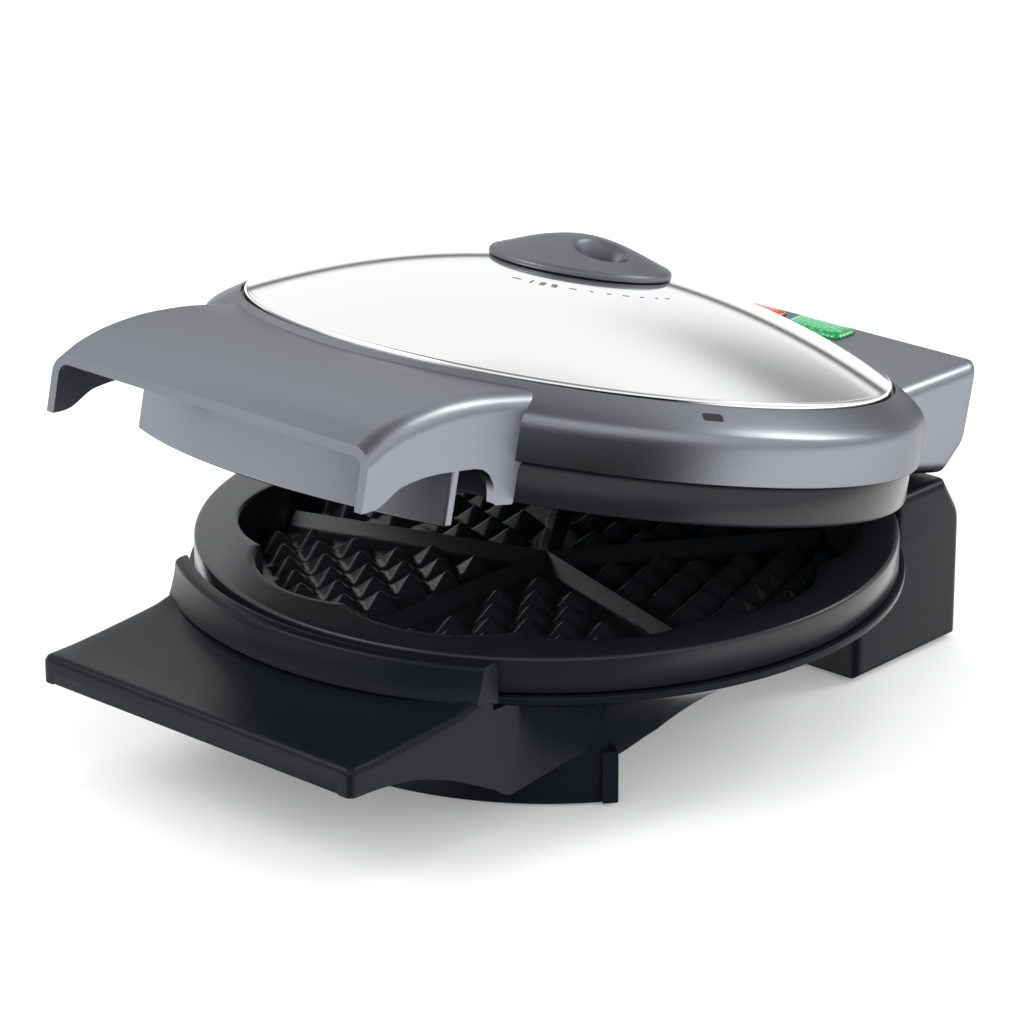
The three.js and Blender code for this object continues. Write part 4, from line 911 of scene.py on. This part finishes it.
def base_foot():
    """The front foot: an upright wall on an arc under the pan, its lower edges rounded."""
    profile = np.array([(91.5, BASE_LOW), (91.5, 33.6), (87.9, 32.6), (87.9, BASE_LOW)], float)
    outline = rounded(profile, np.array([0.6, 0.2, 0.2, 0.4]), 4)
    half = 52.7
    angles = np.radians(np.linspace(-90 - half, -90 + half, 97))[:, None]
    return swept(np.broadcast_to(outline, (97, *outline.shape)), angles)


def foot_boss(side):
    """The round post that carries a front rubber foot."""
    profile = np.array([(0, 2.4), (7.3, 2.4), (7.3, BASE_LOW), (9.3, BASE_LOW), (9.3, 24.5),
                        (0, 24.5)], float)
    grid, faces = turned(rounded(profile, np.array([0, 0.2, 0.2, 0.5, 0.2, 0]), 4), 48)
    foot_x, foot_y = 50.0, -63.0
    return grid + np.array([side * foot_x, foot_y, 0]), faces


def base_tower():
    """The rear tower: its side outline drawn in at both ends, with a rounded hollow in front for the plates.

    Above the rim its front edge lies on a circle round the plates; where the circle passes the hinge line the
    top runs down the rear slope."""
    half, end, across, front, hinge_y, slope = 72.0, 3.0, 68.9, 64.0, 108, 12.5 / 8.2
    x, drawn = rounded_stations(half, end, 7, np.linspace(-across, across, 61))
    circle = np.sqrt(BEHIND_R ** 2 - x ** 2)
    slope_z = TOWER_TOP - np.maximum(circle - hinge_y, 0) * slope
    outline = outlines_of((front, BASE_LOW), (TOWER_BACK, BASE_LOW), (TOWER_BACK, 43.5),
                          (np.maximum(circle + 0.3, hinge_y), np.minimum(slope_z, TOWER_TOP)),
                          (circle, slope_z), (circle, 42.4), (front, 39.5))
    reach = np.array([0.8, 0.8, 3.0, 0.5, 0.5, 0.1, 0.2])
    return pillow(rounded(inset(outline, drawn), reach, 5), x)


# Operators

class WAFFLE_OT_stage(bpy.types.Operator):
    """Makes the pale floor, the soft lights, the camera and the room light"""

    bl_idname = "waffle.stage"
    bl_label = "Stage"

    def execute(self, context):
        scene = context.scene
        make_floor()
        room_light(scene)
        for lamp in LAMPS:
            soft_light(*lamp)
        make_camera(scene)
        scene.view_settings.view_transform = "Standard"
        return {"FINISHED"}


class WAFFLE_OT_lid(bpy.types.Operator):
    """Makes the lid housing: its ring, folded handle, front wall, lamp housing and the painted shade of its slots
    """

    bl_idname = "waffle.lid"
    bl_label = "Lid housing"

    def execute(self, context):
        paint = finish("grey_paint")

        def part(name, *shapes, material=paint, nodes=("lid_housing",), **extra):
            """One piece of the lid housing."""
            make_piece(name, placed(on_lid, *shapes), "lid", "grey_paint", material, nodes, **extra)

        part("lid_ring", lid_ring())
        part("lid_handle", lid_handle(), bevel=0.8, edge_limit=50)
        part("lid_front_wall", lid_front_wall(), bevel=0.8, edge_limit=50)
        part("lamp_housing", lamp_housing())
        # The slots are painted shade: dark capsules laid on the ring's slope
        part("shoulder_slots", *shoulder_slots(SLOT_ANGLES), material=finish("dark_gap"), nodes=())
        return {"FINISHED"}


class WAFFLE_OT_cover(bpy.types.Operator):
    """Makes the polished steel cover and the scale printed on it"""

    bl_idname = "waffle.cover"
    bl_label = "Steel cover"

    def execute(self, context):
        make_piece("steel_dome", placed(on_lid, steel_cover()), "lid", "polished_steel",
                   finish("polished_steel"), ["steel_cover"], sharp=40)
        make_piece("dial_scale", placed(on_lid, *strokes_on_dome(scale_strokes(), SCALE_LINE)), "lid",
                   "polished_steel", finish("print_grey"))
        return {"FINISHED"}


class WAFFLE_OT_dial(bpy.types.Operator):
    """Makes the temperature dial with its two finger scoops"""

    bl_idname = "waffle.dial"
    bl_label = "Dial"

    def execute(self, context):
        make_piece("dial_face", placed(on_lid, dial_knob()), "dial", "dial_grey", finish("dial_grey"),
                   ["dial_knob"], sharp=60)
        return {"FINISHED"}


class WAFFLE_OT_lenses(bpy.types.Operator):
    """Makes the two lenses and the dark joints round them"""

    bl_idname = "waffle.lenses"
    bl_label = "Lenses"

    def execute(self, context):
        body = [(0.0, -2.4), (0.0, 0.5), (0.35, 1.0), (1.0, 1.4), (2.2, 1.75), (3.6, 1.95), (4.9, 2.0)]
        seat = [(0.0, -1.0), (0.0, 0.05)]
        for name, node, colour, side in (("lens_left", "lens_heating", "orange_lens", -1),
                                         ("lens_right", "lens_ready", "green_lens", 1)):
            shape = lens(side, 0.0, LENS_CORNER, body)
            joint = lens(side, LENS_GAP, LENS_CORNER + 0.4, seat)
            make_piece(name, placed(on_lid, shape), "lid", colour, finish(colour), [node])
            make_piece(name + "_joint", placed(on_lid, joint), "lid", "grey_paint", finish("dark_gap"))
        return {"FINISHED"}


class WAFFLE_OT_plates(bpy.types.Operator):
    """Makes the two cooking plates with their hearts and pyramids"""

    bl_idname = "waffle.plates"
    bl_label = "Cooking plates"

    def execute(self, context):
        coat = finish("cooking_plate")
        grid, faces = plate_grid(PLATE_R, PLATE_RIM)
        make_piece("lower_plate_face", placed(on_base, (raised_to(grid, PLATE_TOP), faces)), "base",
                   "cooking_plate", coat, ["lower_plate"], sharp=75)
        grid, faces = plate_grid(LID_PLATE_R, LID_PLATE_RIM)
        make_piece("upper_plate_face", placed(on_lid, (raised_to(grid, LID_PLATE_Z, True), faces)), "lid",
                   "cooking_plate", coat, ["upper_plate"], sharp=75)
        return {"FINISHED"}


class WAFFLE_OT_base(bpy.types.Operator):
    """Makes the base housing: pan, collar, tongue, webs, front foot and rear tower"""

    bl_idname = "waffle.base"
    bl_label = "Base housing"

    def execute(self, context):
        black = finish("black_plastic")

        def part(name, *shapes, **extra):
            """One piece of the base housing."""
            make_piece(name, placed(on_base, *shapes), "base", "black_plastic", black, ["base_housing"],
                       **extra)

        part("base_pan", base_pan())
        part("base_collar", base_collar(), bevel=0.5, edge_limit=60)
        part("base_tongue", base_tongue(), sharp=50)
        part("tongue_lip", tongue_lip())
        part("base_webs", base_web(1), base_web(-1), sharp=50)
        part("base_foot", base_foot(), foot_boss(1), foot_boss(-1), bevel=0.4, edge_limit=60)
        part("foot_posts", foot_post(1), foot_post(-1), bevel=0.7, edge_limit=60)
        part("base_tower", base_tower())
        return {"FINISHED"}


class WAFFLE_OT_fittings(bpy.types.Operator):
    """Gives the fittings that keep their frame shapes their finishes"""

    bl_idname = "waffle.fittings"
    bl_label = "Fittings"

    def execute(self, context):
        slots = {p["node"]: p["material_slot"] for p in frame["record"]["subparts"]}
        for name, node in frame["nodes"].items():
            if node.hide_render:
                continue
            material = finish(slots[name])
            node.data.materials.clear()
            node.data.materials.append(material)
        return {"FINISHED"}


class WAFFLE_PT_panel(bpy.types.Panel):
    """Lists the waffle maker's sizes, colours and pieces"""

    bl_idname = "WAFFLE_PT_panel"
    bl_label = "Waffle maker"
    bl_space_type = "VIEW_3D"
    bl_region_type = "UI"
    bl_category = "Waffle maker"

    def draw(self, context):
        layout = self.layout
        for group in (context.scene.waffle_sizes, context.scene.waffle_colours):
            for name in group.bl_rna.properties.keys():
                if name not in ("rna_type", "name"):
                    layout.prop(group, name)
        for operator in OPERATORS:
            layout.operator(operator.bl_idname)


# Stage

def make_floor():
    """A wide, level, pale floor that reaches to the room's horizon."""
    x, y = np.meshgrid(*[np.linspace(-FLOOR_REACH, FLOOR_REACH, FLOOR_LINES)] * 2)
    mesh = bpy.data.meshes.new("floor")
    mesh.from_pydata(np.stack([x, y, 0 * x], -1).reshape(-1, 3).tolist(), [],
                     cells(FLOOR_LINES, FLOOR_LINES).tolist())
    floor = bpy.data.objects.new("floor", mesh)
    bpy.context.scene.collection.objects.link(floor)
    paper = finish("floor_white")
    wire(paper.node_tree, paper.node_tree.nodes["Principled BSDF"],
         {"Emission Color": (1, 1, 1, 1), "Emission Strength": 0.2})
    mesh.materials.append(paper)
    floor.visible_glossy = False


def room_light(scene):
    """The room's own light, by direction: pale all round and dimmer overhead, with a thin dark line at the
    horizon, a dim panel behind and a dim room in front. The steel cover and the paint mirror all of it."""
    world = bpy.data.worlds.new("studio")
    scene.world = world
    world.use_nodes = True
    tree = world.node_tree
    way = add(tree, "TexCoord", {}).outputs["Generated"]
    split = add(tree, "SeparateXYZ", {0: way})
    x, y, z = (split.outputs[axis] for axis in "XYZ")
    height = add(tree, "Math", {0: z, 1: 0.5, 2: 0.5}, operation="MULTIPLY_ADD").outputs[0]
    ramp = add(tree, "ValToRGB", {"Fac": height})
    # Light from straight below (0) over the horizon (0.5) to straight above (1)
    stops = [(0.0, 0.03), (0.17, 0.1), (0.28, 1.0), (0.41, 1.0), (0.48, 0.66), (0.494, 0.66), (0.5, 0.03),
             (0.518, 0.04), (0.534, 0.66), (0.84, 0.66), (0.94, 0.24), (1.0, 0.17)]
    elements = ramp.color_ramp.elements
    for place, _ in stops[1:-1]:
        elements.new(place)
    for element, (_, value) in zip(elements, stops):
        element.color = (value, value, value, 1)
    panel = product(tree, [ranged(tree, x, -0.6, -0.28, 0.0, 0.6), ranged(tree, x, 0.0, 0.25, 1.0, 0.0),
                           ranged(tree, y, 0.0, 0.4, 0.0, 1.0), ranged(tree, z, 0.36, 0.64, 1.0, 0.0),
                           ranged(tree, z, 0.04, 0.14, 0.0, 1.0)])
    toward = add(tree, "VectorMath", {0: way, 1: ROOM_FRONT}, operation="DOT_PRODUCT").outputs["Value"]
    front = product(tree, [ranged(tree, toward, 0.5, 0.86, 0.0, 0.96), ranged(tree, z, 0.08, 0.36, 1.0, 0.0)])
    level = product(tree, [ranged(tree, panel, 0, 1, 1.7, 0), ranged(tree, front, 0, 1, 1, 0)])
    wire(tree, tree.nodes["Background"], {"Color": ramp.outputs["Color"], "Strength": level})


def soft_light(name, place, aim, width, height, power, mirrored):
    """A rectangular lamp that faces a point; it is mirrored in the shiny pieces or only lights them."""
    data = bpy.data.lights.new(name, "AREA")
    data.shape = "RECTANGLE"
    data.size, data.size_y = width, height
    data.energy = power
    lamp = bpy.data.objects.new(name, data)
    lamp.visible_glossy = mirrored
    way = Vector(aim) - Vector(place)
    lamp.matrix_world = Matrix.Translation(place) @ way.to_track_quat("-Z", "Y").to_matrix().to_4x4()
    bpy.context.scene.collection.objects.link(lamp)


def make_camera(scene):
    """The camera at the photograph's place: its azimuth, elevation and distance from what it looks at."""
    azimuth, elevation = math.radians(VIEW_AZIMUTH), math.radians(VIEW_ELEVATION)
    back = Vector((math.sin(azimuth) * math.cos(elevation), -math.cos(azimuth) * math.cos(elevation),
                   math.sin(elevation)))
    data = bpy.data.cameras.new("view")
    data.sensor_width, data.lens = VIEW_SENSOR, VIEW_LENS
    data.shift_x, data.shift_y = VIEW_SHIFT
    camera = bpy.data.objects.new("view", data)
    turn = (-back).to_track_quat("-Z", "Y").to_matrix().to_4x4()
    camera.matrix_world = Matrix.Translation(Vector((0.0, PLATE_Y, VIEW_AIM_HIGH)) + back * VIEW_AWAY) @ turn
    scene.collection.objects.link(camera)
    scene.camera = camera


# Add-on

OPERATORS = (WAFFLE_OT_stage, WAFFLE_OT_lid, WAFFLE_OT_cover, WAFFLE_OT_dial, WAFFLE_OT_lenses,
             WAFFLE_OT_plates, WAFFLE_OT_base, WAFFLE_OT_fittings)
CLASSES = (WaffleSizes, WaffleColours, *OPERATORS, WAFFLE_PT_panel)


def register():
    for each in CLASSES:
        bpy.utils.register_class(each)
    bpy.types.Scene.waffle_sizes = PointerProperty(type=WaffleSizes)
    bpy.types.Scene.waffle_colours = PointerProperty(type=WaffleColours)


def unregister():
    del bpy.types.Scene.waffle_sizes
    del bpy.types.Scene.waffle_colours
    for each in reversed(CLASSES):
        bpy.utils.unregister_class(each)


def main():
    """Registers the classes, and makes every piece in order."""
    register()
    bpy.ops.waffle.stage()
    bpy.ops.waffle.lid()
    bpy.ops.waffle.cover()
    bpy.ops.waffle.dial()
    bpy.ops.waffle.lenses()
    bpy.ops.waffle.plates()
    bpy.ops.waffle.base()
    bpy.ops.waffle.fittings()


if __name__ == "__main__":
    main()
